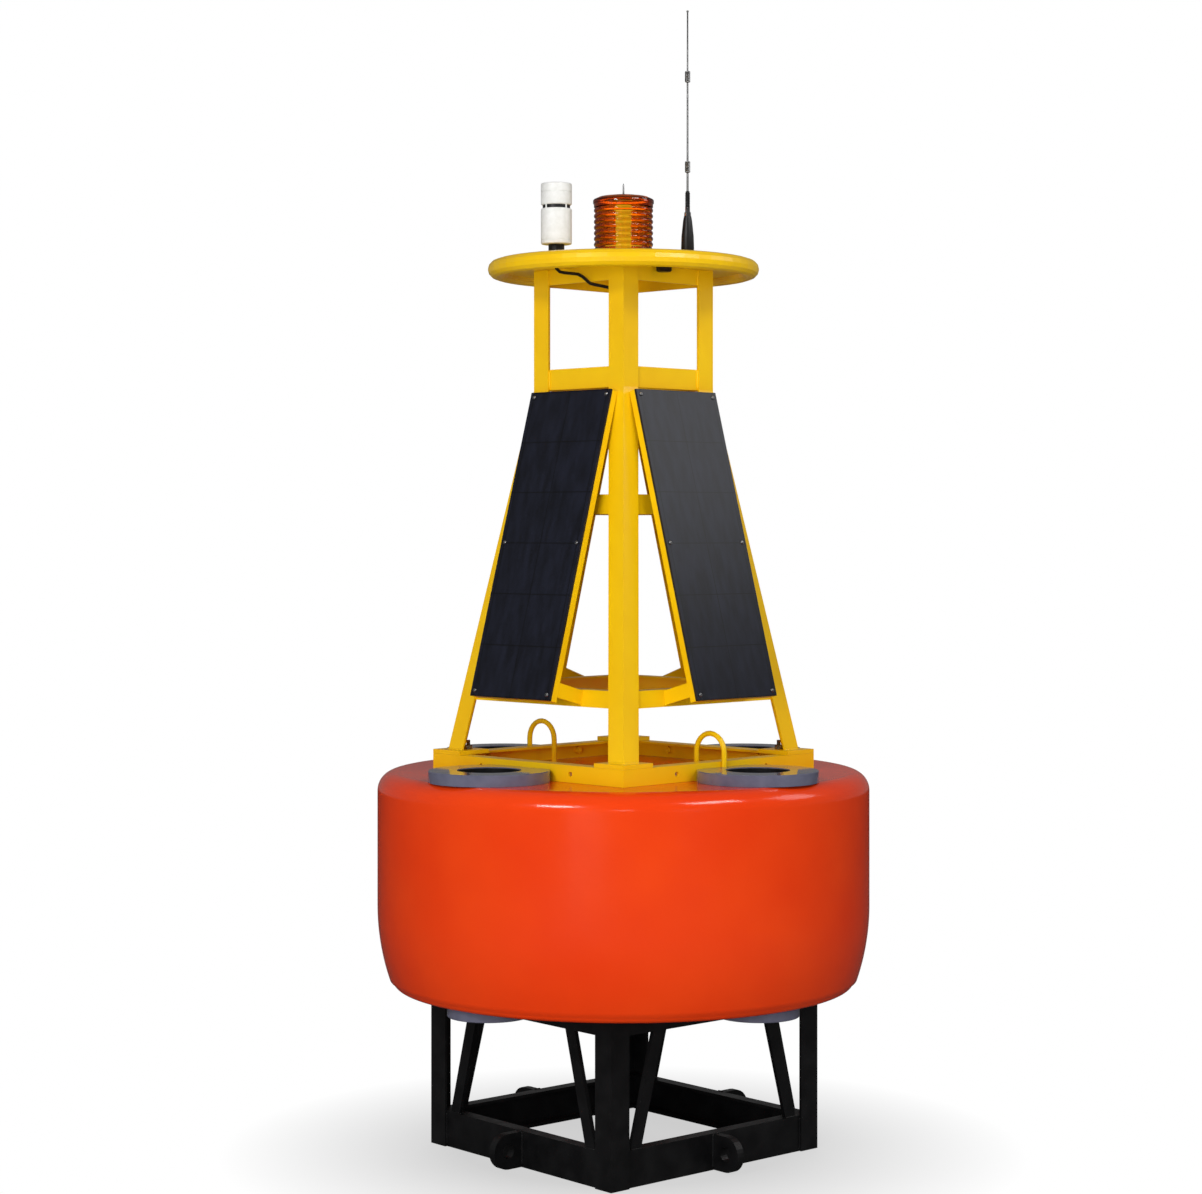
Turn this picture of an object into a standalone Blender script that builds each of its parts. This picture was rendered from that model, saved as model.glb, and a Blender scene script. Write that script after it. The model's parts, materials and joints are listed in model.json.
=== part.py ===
"""Foam-hull navigation buoy with a solar tower, standing on its steel underframe.

Metres, +Z up, z = 0 on the floor. The tower is square in plan and stands with one
corner towards -Y, so every square piece is drawn with its sides along X and Y and
is then turned by half a right angle.
"""

import math

import bmesh
import bpy
from mathutils import Matrix, Vector

# Joints between pieces
SEAT = 0.0003  # play left between two faces that are bolted or welded together
PASS = 0.010  # how far a cutter reaches past what it cuts

# Foam hull
HULL_DIAMETER = 1.200
HULL_HEIGHT = 0.520
SHOULDER_RADIUS = 0.045
LOWER_CURVE_HEIGHT = 0.197
LOWER_CURVE_INSET = 0.036
BILGE_RADIUS = 0.018
HULL_SEGMENTS = 64

# Underframe
UNDERFRAME_SIDE = 0.670
UNDERFRAME_HEIGHT = 0.400
UNDERFRAME_TURN = math.radians(-3.4)
POST_LEG = 0.056
POST_WALL = 0.006
LOWER_BAR_HEIGHT = 0.086
LOWER_BAR_WIDTH = 0.032
LOWER_BAR_WEB = 0.006
LOWER_BAR_FLANGE = 0.008
UPPER_BAR_LEG = 0.050
UPPER_BAR_WALL = 0.006
BRACE_WIDTH = 0.032
BRACE_THICKNESS = 0.010
BRACE_FOOT_FROM_CORNER = 0.084
BRACE_HEAD_FROM_CORNER = 0.168
BRACE_WELD_DEPTH = 0.003
LUG_THICKNESS = 0.020
LUG_EYE_REACH = 0.042
LUG_RADIUS = 0.042
LUG_EYE_RADIUS = 0.017

# Instrument wells through the hull
WELL_EDGE_MARGIN = 0.0145
WELL_BORE_RADIUS = 0.075
WELL_PIPE_WALL = 0.007
WELL_FLANGE_RADIUS = 0.1425
WELL_FLANGE_THICKNESS = 0.027
WELL_FLANGE_EDGE = 0.002
WELL_COLLAR_RADIUS = 0.098
WELL_COLLAR_THICKNESS = 0.025
WELL_BAR_CLEARANCE = 0.002
WELL_SEGMENTS = 40

# Base ring on the hull
BASE_RING_SIDE = 0.659
BASE_ANGLE_LEG = 0.040
BASE_ANGLE_WALL = 0.006
BASE_HOLE_RADIUS = 0.006
BASE_HOLE_FROM_CORNER = 0.175
FOOT_PLATE_SIDE = 0.096
FOOT_PLATE_THICKNESS = 0.010

# Lifting eyes, bent bars that stand on the hull and pass over the base ring
EYE_BAR_DIAMETER = 0.013
EYE_SPAN = 0.090
EYE_HEIGHT = 0.111

# Tower
TOWER_FOOT_SIDE = 0.606
TOWER_CAGE_SIDE = 0.310
LEG_WIDTH = 0.050
LEG_WALL = 0.005
CAGE_HEIGHT = 0.293
OUTRIGGER_RING_HEIGHT = 0.040
MID_RING_ABOVE_HULL = 0.624
MID_RING_HEIGHT = 0.047
CAGE_RING_HEIGHT = 0.050
TOP_RING_HEIGHT = 0.037
RING_WALL = 0.005
RING_SHELF = 0.035
OUTRIGGER_PLATE = 0.006
OUTRIGGER_HEIGHT = 0.034
OUTRIGGER_FROM_PANEL_END = 0.030

# Solar panels
PANEL_WIDTH = 0.275
PANEL_LENGTH = 0.756
PANEL_THICKNESS = 0.006
PANEL_TILT = math.radians(15.4)
PANEL_TOP_BELOW_KNEE = 0.006
PANEL_FOOT_ABOVE_HULL = 0.192
PANEL_FRAME_DEPTH = 0.0165
PANEL_RAIL_WIDTH = 0.025
PANEL_RAIL_WALL = 0.003

# Top plate
TOP_PLATE_DIAMETER = 0.664
TOP_RIM_DIAMETER = 0.042
TOP_SHEET_THICKNESS = 0.006
TOP_SEGMENTS = 56

# Lantern
LANTERN_BASE_RADIUS = 0.066
LANTERN_BASE_HEIGHT = 0.014
LENS_RADIUS = 0.0725
LENS_HEIGHT = 0.145
LENS_RIBS = 9
LENS_RIB_DEPTH = 0.004
LENS_FOOT_HEIGHT = 0.010
LANTERN_SEGMENTS = 32
LANTERN_CAP_RADIUS = 0.0745
LANTERN_CAP_EDGE = 0.008
LANTERN_CAP_HEIGHT = 0.020
SPIKE_RADIUS = 0.0022
SPIKE_HEIGHT = 0.030

# Weather sensor
SENSOR_INSIDE_RIM = 0.0565
SENSOR_BEARING = math.radians(226.75)
SENSOR_MOUNT_RADIUS = 0.0190
SENSOR_MOUNT_HEIGHT = 0.041
SENSOR_RADIUS = 0.037
SENSOR_BODY_HEIGHT = 0.0835
SENSOR_GAP = 0.012
SENSOR_NECK_RADIUS = 0.020
SENSOR_HEAD_HEIGHT = 0.050
SENSOR_EDGE = 0.004
SENSOR_POST_RADIUS = 0.0035
SENSOR_POST_CIRCLE = 0.030
SENSOR_POSTS = 4

# Cable from the weather sensor, down behind the front leg to the deck
CABLE_DIAMETER = 0.008
CABLE_STEP = 0.024
CABLE_BEND_STEP = 0.012
CABLE_BEND_LENGTH = 0.240
CABLE_STUB = 0.005
CABLE_FROM_SHELF = 0.006
GROMMET_RADIUS = 0.011
GROMMET_THICKNESS = 0.004
GLAND_RADIUS = 0.013
GLAND_NUT_HEIGHT = 0.008
GLAND_DOME_RADIUS = 0.009
GLAND_LENGTH = 0.022
GLAND_EDGE = 0.003
DECK_GLAND_FROM_AXIS = 0.290
SPARE_GLAND_PLACE = (0.097, -0.150)
SPARE_GLAND_RADIUS = 0.019
SPARE_GLAND_LENGTH = 0.0155

# Whip antenna
ANTENNA_OFFSET = 0.157
ANTENNA_FOOT_RADIUS = 0.021
ANTENNA_FOOT_HEIGHT = 0.010
ANTENNA_BASE_RADIUS = 0.017
ANTENNA_BASE_HEIGHT = 0.120
ANTENNA_NECK_RADIUS = 0.006
ANTENNA_NECK_HEIGHT = 0.060
ANTENNA_SHOULDER_HEIGHT = 0.004
ANTENNA_ROD_RADIUS = 0.0028
ANTENNA_ROD_LENGTH = 0.443
COIL_RADIUS = 0.0070
COIL_LENGTH = 0.028
COIL_TAPER = 0.003
LOW_COIL_ABOVE_ROD_FOOT = 0.059
HIGH_COIL_BELOW_ROD_TIP = 0.163

# Heights and distances that follow from the sizes above
HULL_BOTTOM = UNDERFRAME_HEIGHT
HULL_TOP = HULL_BOTTOM + HULL_HEIGHT
WELL_CIRCLE_RADIUS = HULL_DIAMETER / 2 - WELL_FLANGE_RADIUS - WELL_EDGE_MARGIN
BASE_RING_BOTTOM = HULL_TOP + SEAT
BASE_RING_TOP = BASE_RING_BOTTOM + BASE_ANGLE_LEG
FOOT_PLATE_TOP = BASE_RING_TOP + SEAT + FOOT_PLATE_THICKNESS
EYE_OUTER_LEG = BASE_RING_SIDE / 2 + SEAT + EYE_BAR_DIAMETER / 2
TOWER_FOOT = FOOT_PLATE_TOP + SEAT
PANEL_RISE = PANEL_LENGTH * math.cos(PANEL_TILT)
KNEE_ABOVE_HULL = PANEL_FOOT_ABOVE_HULL + PANEL_RISE + PANEL_TOP_BELOW_KNEE
TOWER_KNEE = HULL_TOP + round(KNEE_ABOVE_HULL, 3)  # the legs are bent at a whole millimetre
SHEET_BOTTOM = TOWER_KNEE + CAGE_HEIGHT
SHEET_TOP = SHEET_BOTTOM + TOP_SHEET_THICKNESS
RIM_HEIGHT = (SHEET_BOTTOM + SHEET_TOP) / 2
INSTRUMENT_FLOOR = SHEET_TOP + SEAT
SENSOR_FROM_AXIS = TOP_PLATE_DIAMETER / 2 - TOP_RIM_DIAMETER - SENSOR_INSIDE_RIM
SENSOR_PLACE = (  # drilled at whole millimetres
    round(SENSOR_FROM_AXIS * math.cos(SENSOR_BEARING), 3),
    round(SENSOR_FROM_AXIS * math.sin(SENSOR_BEARING), 3),
)
LEAN = (TOWER_FOOT_SIDE - TOWER_CAGE_SIDE) / 2 / (TOWER_KNEE - TOWER_FOOT)
RING_INSET = LEG_WALL + SEAT

HALF_TURN_OF_SQUARE = math.radians(45)
QUARTER = math.radians(90)
CORNERS = ("back", "left", "front", "right")
SIDES = ("back_right", "back_left", "front_left", "front_right")
EYE_SIDES = ("back_left", "front_right")

COLOURS = {
    "hull_orange": (0.807, 0.048, 0.006),
    "tower_yellow": (0.887, 0.552, 0.006),
    "frame_black": (0.012, 0.012, 0.012),
    "flange_grey": (0.141, 0.141, 0.184),
    "panel_dark": (0.014, 0.015, 0.022),
    "lens_amber": (0.552, 0.231, 0.008),
    "plastic_white": (0.855, 0.855, 0.830),
    "plastic_black": (0.010, 0.010, 0.010),
    "steel_grey": (0.352, 0.352, 0.352),
}


def clear_scene():
    """Remove every object of the open file."""
    for item in list(bpy.data.objects):
        bpy.data.objects.remove(item, do_unlink=True)


def finish_material(name, colour, roughness, metallic):
    """A material of the piece's own, in one of the buoy's colours."""
    material = bpy.data.materials.new(name + "_material")
    material.use_nodes = True
    shader = material.node_tree.nodes["Principled BSDF"]
    shader.inputs["Base Color"].default_value = (*COLOURS[colour], 1.0)
    shader.inputs["Roughness"].default_value = roughness
    shader.inputs["Metallic"].default_value = metallic
    return material


def add_object(name, bm, colour, roughness=0.45, metallic=0.0, smooth=False):
    """Turn a bmesh into a named object with its own material."""
    bmesh.ops.recalc_face_normals(bm, faces=bm.faces)
    mesh = bpy.data.meshes.new(name)
    bm.to_mesh(mesh)
    bm.free()
    if smooth:
        mesh.shade_smooth()
    mesh.materials.append(finish_material(name, colour, roughness, metallic))
    item = bpy.data.objects.new(name, mesh)
    bpy.context.collection.objects.link(item)
    return item


def loft(sections, closed_loop=False):
    """A solid through like sections: capped at its ends, or closed on itself."""
    bm = bmesh.new()
    rows = [[bm.verts.new(point) for point in section] for section in sections]
    spans = list(zip(rows, rows[1:]))
    if closed_loop:
        spans.append((rows[-1], rows[0]))
    else:
        bm.faces.new(rows[0])
        bm.faces.new(rows[-1])
    for row, following in spans:
        for i in range(len(row)):
            j = (i + 1) % len(row)
            bm.faces.new((row[i], row[j], following[j], following[i]))
    bmesh.ops.recalc_face_normals(bm, faces=bm.faces)
    return bm


def slab(outline, push):
    """A flat outline pushed through a thickness."""
    shift = Vector(push)
    return loft([[Vector(p) for p in outline], [Vector(p) + shift for p in outline]])


def box(low, high):
    """A block between two opposite corners."""
    x0, y0, z0 = low
    x1, y1, z1 = high
    outline = [(x0, y0, z0), (x1, y0, z0), (x1, y1, z0), (x0, y1, z0)]
    return slab(outline, (0, 0, z1 - z0))


def square_ring(profile):
    """A square frame. The profile holds (half side, height) pairs."""
    sections = []
    for sx, sy in ((1, 1), (-1, 1), (-1, -1), (1, -1)):
        sections.append([(sx * half, sy * half, z) for half, z in profile])
    return loft(sections, closed_loop=True)


def pin(bm, radius, length, place, axis="Z", segments=12):
    """Add a round pin to a bmesh, centred at a place, along one of the axes."""
    spin = {"X": Matrix.Rotation(QUARTER, 4, "Y"), "Y": Matrix.Rotation(QUARTER, 4, "X")}
    bmesh.ops.create_cone(
        bm,
        cap_ends=True,
        segments=segments,
        radius1=radius,
        radius2=radius,
        depth=length,
        matrix=Matrix.Translation(place) @ spin.get(axis, Matrix.Identity(4)),
    )
    return bm


def turned(profile, segments, closed=False):
    """A body of revolution about Z from (radius, height) pairs."""
    bm = bmesh.new()
    verts = [bm.verts.new((r, 0, z)) for r, z in profile]
    edges = [bm.edges.new(pair) for pair in zip(verts, verts[1:])]
    if closed:
        edges.append(bm.edges.new((verts[-1], verts[0])))
    bmesh.ops.spin(
        bm,
        geom=verts + edges,
        axis=(0, 0, 1),
        cent=(0, 0, 0),
        angle=math.tau,
        steps=segments,
        use_merge=True,
    )
    bmesh.ops.remove_doubles(bm, verts=bm.verts, dist=1e-6)
    bmesh.ops.recalc_face_normals(bm, faces=bm.faces)
    return bm


def arc(centre, radius, start, end, steps):
    """Points of an arc in the plane, angles in degrees."""
    points = []
    for i in range(steps + 1):
        angle = math.radians(start + (end - start) * i / steps)
        points.append((centre[0] + radius * math.cos(angle), centre[1] + radius * math.sin(angle)))
    return points


def turn(item, angle):
    """Turn a finished piece about the buoy's axis."""
    item.data.transform(Matrix.Rotation(angle, 4, "Z"))
    return item


def move(item, x, y, z=0.0):
    """Move a finished piece."""
    item.data.transform(Matrix.Translation((x, y, z)))
    return item


def cutter(name, bm):
    """A guide body that is used by a Boolean and isn't drawn."""
    bmesh.ops.recalc_face_normals(bm, faces=bm.faces)
    mesh = bpy.data.meshes.new(name)
    bm.to_mesh(mesh)
    bm.free()
    item = bpy.data.objects.new(name, mesh)
    bpy.context.collection.objects.link(item)
    item.hide_render = True
    item.display_type = "WIRE"
    return item


def combine(item, other, operation):
    """Add a Boolean modifier with the exact solver."""
    modifier = item.modifiers.new(operation.lower() + "_" + other.name, "BOOLEAN")
    modifier.operation = operation
    modifier.solver = "EXACT"
    modifier.object = other


def corner_angle(k):
    return HALF_TURN_OF_SQUARE + QUARTER * k


def leg_half(z):
    """Half the tower's outer side at a height."""
    if z >= TOWER_KNEE:
        return TOWER_CAGE_SIDE / 2
    return TOWER_CAGE_SIDE / 2 + (TOWER_KNEE - z) * LEAN


def tube(name, path, diameter, colour, roughness, sides_step=2):
    """A round bar or cable along a path, with closed ends."""
    curve = bpy.data.curves.new(name, "CURVE")
    curve.dimensions = "3D"
    curve.bevel_depth = diameter / 2
    curve.bevel_resolution = sides_step
    curve.use_fill_caps = True
    line = curve.splines.new("POLY")
    line.points.add(len(path) - 1)
    for point, place in zip(line.points, path):
        point.co = (*place, 1)
    curve.materials.append(finish_material(name, colour, roughness, 0.0))
    item = bpy.data.objects.new(name, curve)
    bpy.context.collection.objects.link(item)
    return item


def smooth_path(points, first_step, first_length, step):
    """Points on a smooth curve through the given ones, closer together over a first length."""
    knots = [Vector(p) for p in points]
    knots = [2 * knots[0] - knots[1], *knots, 2 * knots[-1] - knots[-2]]
    dense = []
    for a, b, c, d in zip(knots, knots[1:], knots[2:], knots[3:]):
        for i in range(24):
            t = i / 24
            dense.append(
                0.5
                * (
                    2 * b
                    + (c - a) * t
                    + (2 * a - 5 * b + 4 * c - d) * t**2
                    + (3 * b - a - 3 * c + d) * t**3
                )
            )
    dense.append(knots[-2])
    lengths = [0.0]
    for a, b in zip(dense, dense[1:]):
        lengths.append(lengths[-1] + (b - a).length)
    close = round(first_length / first_step)
    wide = max(1, round((lengths[-1] - first_length) / step))
    rest = lengths[-1] - first_length
    goals = [first_length * i / close for i in range(close)]
    goals += [first_length + rest * i / wide for i in range(wide + 1)]
    path = []
    j = 0
    for goal in goals:
        while j < len(lengths) - 2 and lengths[j + 1] < goal:
            j += 1
        share = (goal - lengths[j]) / (lengths[j + 1] - lengths[j])
        path.append(dense[j].lerp(dense[j + 1], share))
    return path


def angle_section(half, width, wall, z):
    """An angle bar's section with its corner outwards."""
    return [
        (half, half, z),
        (half - width, half, z),
        (half - width, half - wall, z),
        (half - wall, half - wall, z),
        (half - wall, half - width, z),
        (half, half - width, z),
    ]


def build_hull():
    radius = HULL_DIAMETER / 2
    foot = radius - LOWER_CURVE_INSET
    rise = LOWER_CURVE_HEIGHT
    sweep_radius = (rise**2 + LOWER_CURVE_INSET**2) / (2 * LOWER_CURVE_INSET)
    sweep_end = math.degrees(math.asin((rise - BILGE_RADIUS) / sweep_radius))
    profile = [(0, HULL_BOTTOM)]
    profile += arc((foot - BILGE_RADIUS, HULL_BOTTOM + BILGE_RADIUS), BILGE_RADIUS, -90, -10, 3)
    centre = (radius - sweep_radius, HULL_BOTTOM + rise)
    profile += arc(centre, sweep_radius, -sweep_end, 0, 5)
    shoulder = (radius - SHOULDER_RADIUS, HULL_TOP - SHOULDER_RADIUS)
    profile += arc(shoulder, SHOULDER_RADIUS, 0, 90, 7)
    profile.append((0, HULL_TOP))
    body = turned(profile, HULL_SEGMENTS)
    poles = [v for v in body.verts if v.co.xy.length < 1e-6]
    bmesh.ops.dissolve_verts(body, verts=poles)
    hull = add_object("foam_hull", body, "hull_orange", 0.3, smooth=True)
    hole_radius = WELL_BORE_RADIUS + WELL_PIPE_WALL + SEAT
    middle = (WELL_CIRCLE_RADIUS, 0, (HULL_BOTTOM + HULL_TOP) / 2)
    for k, side in enumerate(SIDES):
        hole = pin(bmesh.new(), hole_radius, HULL_HEIGHT + 2 * PASS, middle, "Z", WELL_SEGMENTS)
        tool = cutter("well_hole_" + side, hole)
        turn(tool, corner_angle(k))
        combine(hull, tool, "DIFFERENCE")


def build_wells():
    bore = WELL_BORE_RADIUS
    pipe = bore + WELL_PIPE_WALL
    rim = WELL_FLANGE_RADIUS
    collar = WELL_COLLAR_RADIUS
    edge = WELL_FLANGE_EDGE
    low = HULL_BOTTOM - SEAT
    high = HULL_TOP + SEAT
    top = high + WELL_FLANGE_THICKNESS
    bottom = low - WELL_COLLAR_THICKNESS
    profile = [
        (bore, bottom),
        (collar - edge, bottom),
        (collar, bottom + edge),
        (collar, low),
        (pipe, low),
        (pipe, high),
        (rim, high),
        (rim, top - edge),
        (rim - edge, top),
        (bore, top),
    ]
    cut = BASE_RING_SIDE / 2 + WELL_BAR_CLEARANCE
    reach = rim + PASS
    nick = SEAT / 3
    for k, side in enumerate(SIDES):
        well = add_object(
            "instrument_well_" + side, turned(profile, WELL_SEGMENTS, closed=True), "flange_grey", 0.5
        )
        move(well, WELL_CIRCLE_RADIUS, 0)
        turn(well, corner_angle(k))
        trim = box((cut - rim, -reach, high - nick), (cut, reach, top + PASS))
        tool = cutter("flange_trim_" + side, trim)
        turn(tool, corner_angle(k))
        combine(well, tool, "DIFFERENCE")
        if side in EYE_SIDES:
            notch = pin(
                bmesh.new(),
                EYE_BAR_DIAMETER / 2 + WELL_BAR_CLEARANCE,
                2 * (WELL_FLANGE_THICKNESS + nick),
                (EYE_OUTER_LEG, 0, top),
                segments=16,
            )
            tool = cutter("eye_notch_" + side, notch)
            turn(tool, corner_angle(k))
            combine(well, tool, "DIFFERENCE")


def build_underframe():
    half = UNDERFRAME_SIDE / 2
    ring = half - POST_WALL - SEAT
    square_turn = HALF_TURN_OF_SQUARE + UNDERFRAME_TURN
    inner = ring - LOWER_BAR_WIDTH
    web = ring - LOWER_BAR_WEB
    top = LOWER_BAR_HEIGHT
    channel = [
        (ring, 0),
        (inner, 0),
        (inner, LOWER_BAR_FLANGE),
        (web, LOWER_BAR_FLANGE),
        (web, top - LOWER_BAR_FLANGE),
        (inner, top - LOWER_BAR_FLANGE),
        (inner, top),
        (ring, top),
    ]
    turn(add_object("underframe_lower_ring", square_ring(channel), "frame_black"), square_turn)

    head = HULL_BOTTOM - SEAT
    angle = [
        (ring, head),
        (ring - UPPER_BAR_LEG, head),
        (ring - UPPER_BAR_LEG, head - UPPER_BAR_WALL),
        (ring - UPPER_BAR_WALL, head - UPPER_BAR_WALL),
        (ring - UPPER_BAR_WALL, head - UPPER_BAR_LEG),
        (ring, head - UPPER_BAR_LEG),
    ]
    upper = add_object("underframe_upper_ring", square_ring(angle), "frame_black")
    foot_z = LOWER_BAR_HEIGHT + SEAT
    head_z = head - BRACE_WELD_DEPTH
    outer = ring - UPPER_BAR_WALL + BRACE_WELD_DEPTH
    for k, side in enumerate(SIDES):
        for hand in (-1, 1):
            slope = (BRACE_HEAD_FROM_CORNER - BRACE_FOOT_FROM_CORNER) / (head_z - foot_z)
            spread = BRACE_WIDTH / 2 * math.hypot(1, slope)
            foot = half - BRACE_FOOT_FROM_CORNER
            tip = half - BRACE_HEAD_FROM_CORNER
            outline = [
                (outer, hand * (foot + spread), foot_z),
                (outer, hand * (foot - spread), foot_z),
                (outer, hand * (tip - spread), head_z),
                (outer, hand * (tip + spread), head_z),
            ]
            name = "brace_" + side + ("_a" if hand < 0 else "_b")
            brace = cutter(name, slab(outline, (-BRACE_THICKNESS, 0, 0)))
            turn(brace, QUARTER * k)
            turn(brace, square_turn)
            combine(upper, brace, "UNION")
    turn(upper, square_turn)

    for k, corner in enumerate(CORNERS):
        sections = [angle_section(half, POST_LEG, POST_WALL, z) for z in (0, head)]
        post = add_object("underframe_post_" + corner, loft(sections), "frame_black")
        turn(post, QUARTER * k + square_turn)

    root = ring + SEAT
    for k, side in enumerate(SIDES):
        eye = root + LUG_EYE_REACH
        middle = LOWER_BAR_HEIGHT / 2
        nose = arc((eye, middle), LUG_RADIUS, -90, 90, 14)
        flat = [(root, middle - LUG_RADIUS), *nose, (root, middle + LUG_RADIUS)]
        outline = [(x, -LUG_THICKNESS / 2, z) for x, z in flat]
        lug = add_object("mooring_lug_" + side, slab(outline, (0, LUG_THICKNESS, 0)), "frame_black")
        hole = pin(
            bmesh.new(),
            LUG_EYE_RADIUS,
            LUG_THICKNESS + 2 * PASS,
            (eye, 0, middle),
            "Y",
            20,
        )
        tool = cutter("lug_eye_" + side, hole)
        turn(tool, QUARTER * k + square_turn)
        turn(lug, QUARTER * k + square_turn)
        combine(lug, tool, "DIFFERENCE")


def build_base_ring():
    half = BASE_RING_SIDE / 2
    wall = BASE_ANGLE_WALL
    profile = [
        (half, BASE_RING_BOTTOM),
        (half, BASE_RING_TOP),
        (half - BASE_ANGLE_LEG, BASE_RING_TOP),
        (half - BASE_ANGLE_LEG, BASE_RING_TOP - wall),
        (half - wall, BASE_RING_TOP - wall),
        (half - wall, BASE_RING_BOTTOM),
    ]
    ring = add_object("base_ring", square_ring(profile), "tower_yellow")
    holes = bmesh.new()
    middle = (BASE_RING_BOTTOM + BASE_RING_TOP) / 2
    along = half - BASE_HOLE_FROM_CORNER
    for hand in (-1, 1):
        for other in (-1, 1):
            pin(holes, BASE_HOLE_RADIUS, 2 * PASS, (hand * half, other * along, middle), "X")
            pin(holes, BASE_HOLE_RADIUS, 2 * PASS, (other * along, hand * half, middle), "Y")
    combine(ring, cutter("base_ring_holes", holes), "DIFFERENCE")
    turn(bpy.data.objects["base_ring_holes"], HALF_TURN_OF_SQUARE)
    turn(ring, HALF_TURN_OF_SQUARE)
    for k, corner in enumerate(CORNERS):
        low = (half - FOOT_PLATE_SIDE, half - FOOT_PLATE_SIDE, BASE_RING_TOP + SEAT)
        plate = add_object(
            "foot_plate_" + corner, box(low, (half, half, FOOT_PLATE_TOP)), "tower_yellow"
        )
        turn(plate, corner_angle(k))


def build_lifting_eyes():
    bend = EYE_SPAN / 2
    foot = HULL_TOP + SEAT
    crown = HULL_TOP + EYE_HEIGHT - EYE_BAR_DIAMETER / 2 - bend
    outline = [(EYE_OUTER_LEG, foot)]
    outline += arc((EYE_OUTER_LEG - bend, crown), bend, 0, 180, 12)
    outline.append((EYE_OUTER_LEG - EYE_SPAN, foot))
    for k, side in enumerate(SIDES):
        if side in EYE_SIDES:
            turned_frame = Matrix.Rotation(corner_angle(k), 3, "Z")
            path = [turned_frame @ Vector((r, 0, z)) for r, z in outline]
            tube("lifting_eye_" + side, path, EYE_BAR_DIAMETER, "tower_yellow", 0.45)


def build_tower_legs():
    top = SHEET_BOTTOM - SEAT
    for k, corner in enumerate(CORNERS):
        sections = [
            angle_section(leg_half(z), LEG_WIDTH, LEG_WALL, z) for z in (TOWER_FOOT, TOWER_KNEE, top)
        ]
        leg = add_object("tower_leg_" + corner, loft(sections), "tower_yellow")
        turn(leg, corner_angle(k))


def tower_ring_profile(low, height, shelf_at_top):
    """An angle bar's profile that lies inside the legs and follows their lean."""
    high = low + height
    outer_low = leg_half(low) - RING_INSET
    outer_high = leg_half(high) - RING_INSET
    if shelf_at_top:
        return [
            (outer_low, low),
            (outer_high, high),
            (outer_high - RING_SHELF, high),
            (outer_high - RING_SHELF, high - RING_WALL),
            (outer_high - RING_WALL, high - RING_WALL),
            (outer_low - RING_WALL, low),
        ]
    return [
        (outer_low, low),
        (outer_high, high),
        (outer_high - RING_WALL, high),
        (outer_low - RING_WALL, low + RING_WALL),
        (outer_low - RING_SHELF, low + RING_WALL),
        (outer_low - RING_SHELF, low),
    ]


def panel_frame_matrix():
    """Axes of a panel on the +X side: across, up the slope and out of its face."""
    slope = Vector((-math.sin(PANEL_TILT), 0, math.cos(PANEL_TILT)))
    normal = Vector((math.cos(PANEL_TILT), 0, math.sin(PANEL_TILT)))
    across = slope.cross(normal)
    depth = PANEL_THICKNESS + PANEL_FRAME_DEPTH + SEAT
    top_z = TOWER_KNEE - PANEL_TOP_BELOW_KNEE
    back_z = top_z - depth * math.sin(PANEL_TILT)
    top_x = leg_half(back_z) + SEAT + depth * math.cos(PANEL_TILT)
    foot = Vector((top_x, 0, top_z)) - slope * PANEL_LENGTH
    matrix = Matrix((across, slope, normal)).transposed().to_4x4()
    matrix.translation = foot
    return matrix


def outrigger_run(centre):
    """How far the arms run down from the panels to the web of the ring that carries them."""
    web = leg_half(centre.z) - RING_INSET - RING_WALL / 2
    return (centre.x - web) / (math.cos(PANEL_TILT) + LEAN * math.sin(PANEL_TILT))


def outrigger_ring_foot():
    """The lower edge of the ring whose middle the arms meet."""
    back = -(PANEL_THICKNESS + PANEL_FRAME_DEPTH + 2 * SEAT)
    centre = panel_frame_matrix() @ Vector((0, OUTRIGGER_FROM_PANEL_END, back))
    middle = centre.z - outrigger_run(centre) * math.sin(PANEL_TILT)
    return middle - OUTRIGGER_RING_HEIGHT / 2


def build_tower_rings():
    low = HULL_TOP + MID_RING_ABOVE_HULL
    mid = square_ring(tower_ring_profile(low, MID_RING_HEIGHT, False))
    turn(add_object("tower_mid_ring", mid, "tower_yellow"), HALF_TURN_OF_SQUARE)
    cage = square_ring(tower_ring_profile(TOWER_KNEE, CAGE_RING_HEIGHT, True))
    turn(add_object("tower_cage_ring", cage, "tower_yellow"), HALF_TURN_OF_SQUARE)

    top_low = SHEET_BOTTOM - SEAT - TOP_RING_HEIGHT
    top = square_ring(tower_ring_profile(top_low, TOP_RING_HEIGHT, True))
    turn(add_object("tower_top_ring", top, "tower_yellow"), HALF_TURN_OF_SQUARE)

    plane = panel_frame_matrix()
    back = -(PANEL_THICKNESS + PANEL_FRAME_DEPTH + 2 * SEAT)
    run = outrigger_run(plane @ Vector((0, OUTRIGGER_FROM_PANEL_END, back)))
    profile = tower_ring_profile(outrigger_ring_foot(), OUTRIGGER_RING_HEIGHT, True)
    ring = add_object("outrigger_ring", square_ring(profile), "tower_yellow")
    y0 = OUTRIGGER_FROM_PANEL_END - OUTRIGGER_HEIGHT / 2
    y1 = OUTRIGGER_FROM_PANEL_END + OUTRIGGER_HEIGHT / 2
    for k, side in enumerate(SIDES):
        for hand in (-1, 1):
            x0 = hand * (PANEL_WIDTH / 2 - OUTRIGGER_PLATE / 2) - OUTRIGGER_PLATE / 2
            arm = box((x0, y0, back - run), (x0 + OUTRIGGER_PLATE, y1, back))
            bmesh.ops.transform(arm, matrix=plane, verts=arm.verts)
            tool = cutter("arm_" + side + ("_a" if hand < 0 else "_b"), arm)
            turn(tool, QUARTER * k + HALF_TURN_OF_SQUARE)
            combine(ring, tool, "UNION")
    turn(ring, HALF_TURN_OF_SQUARE)


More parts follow.
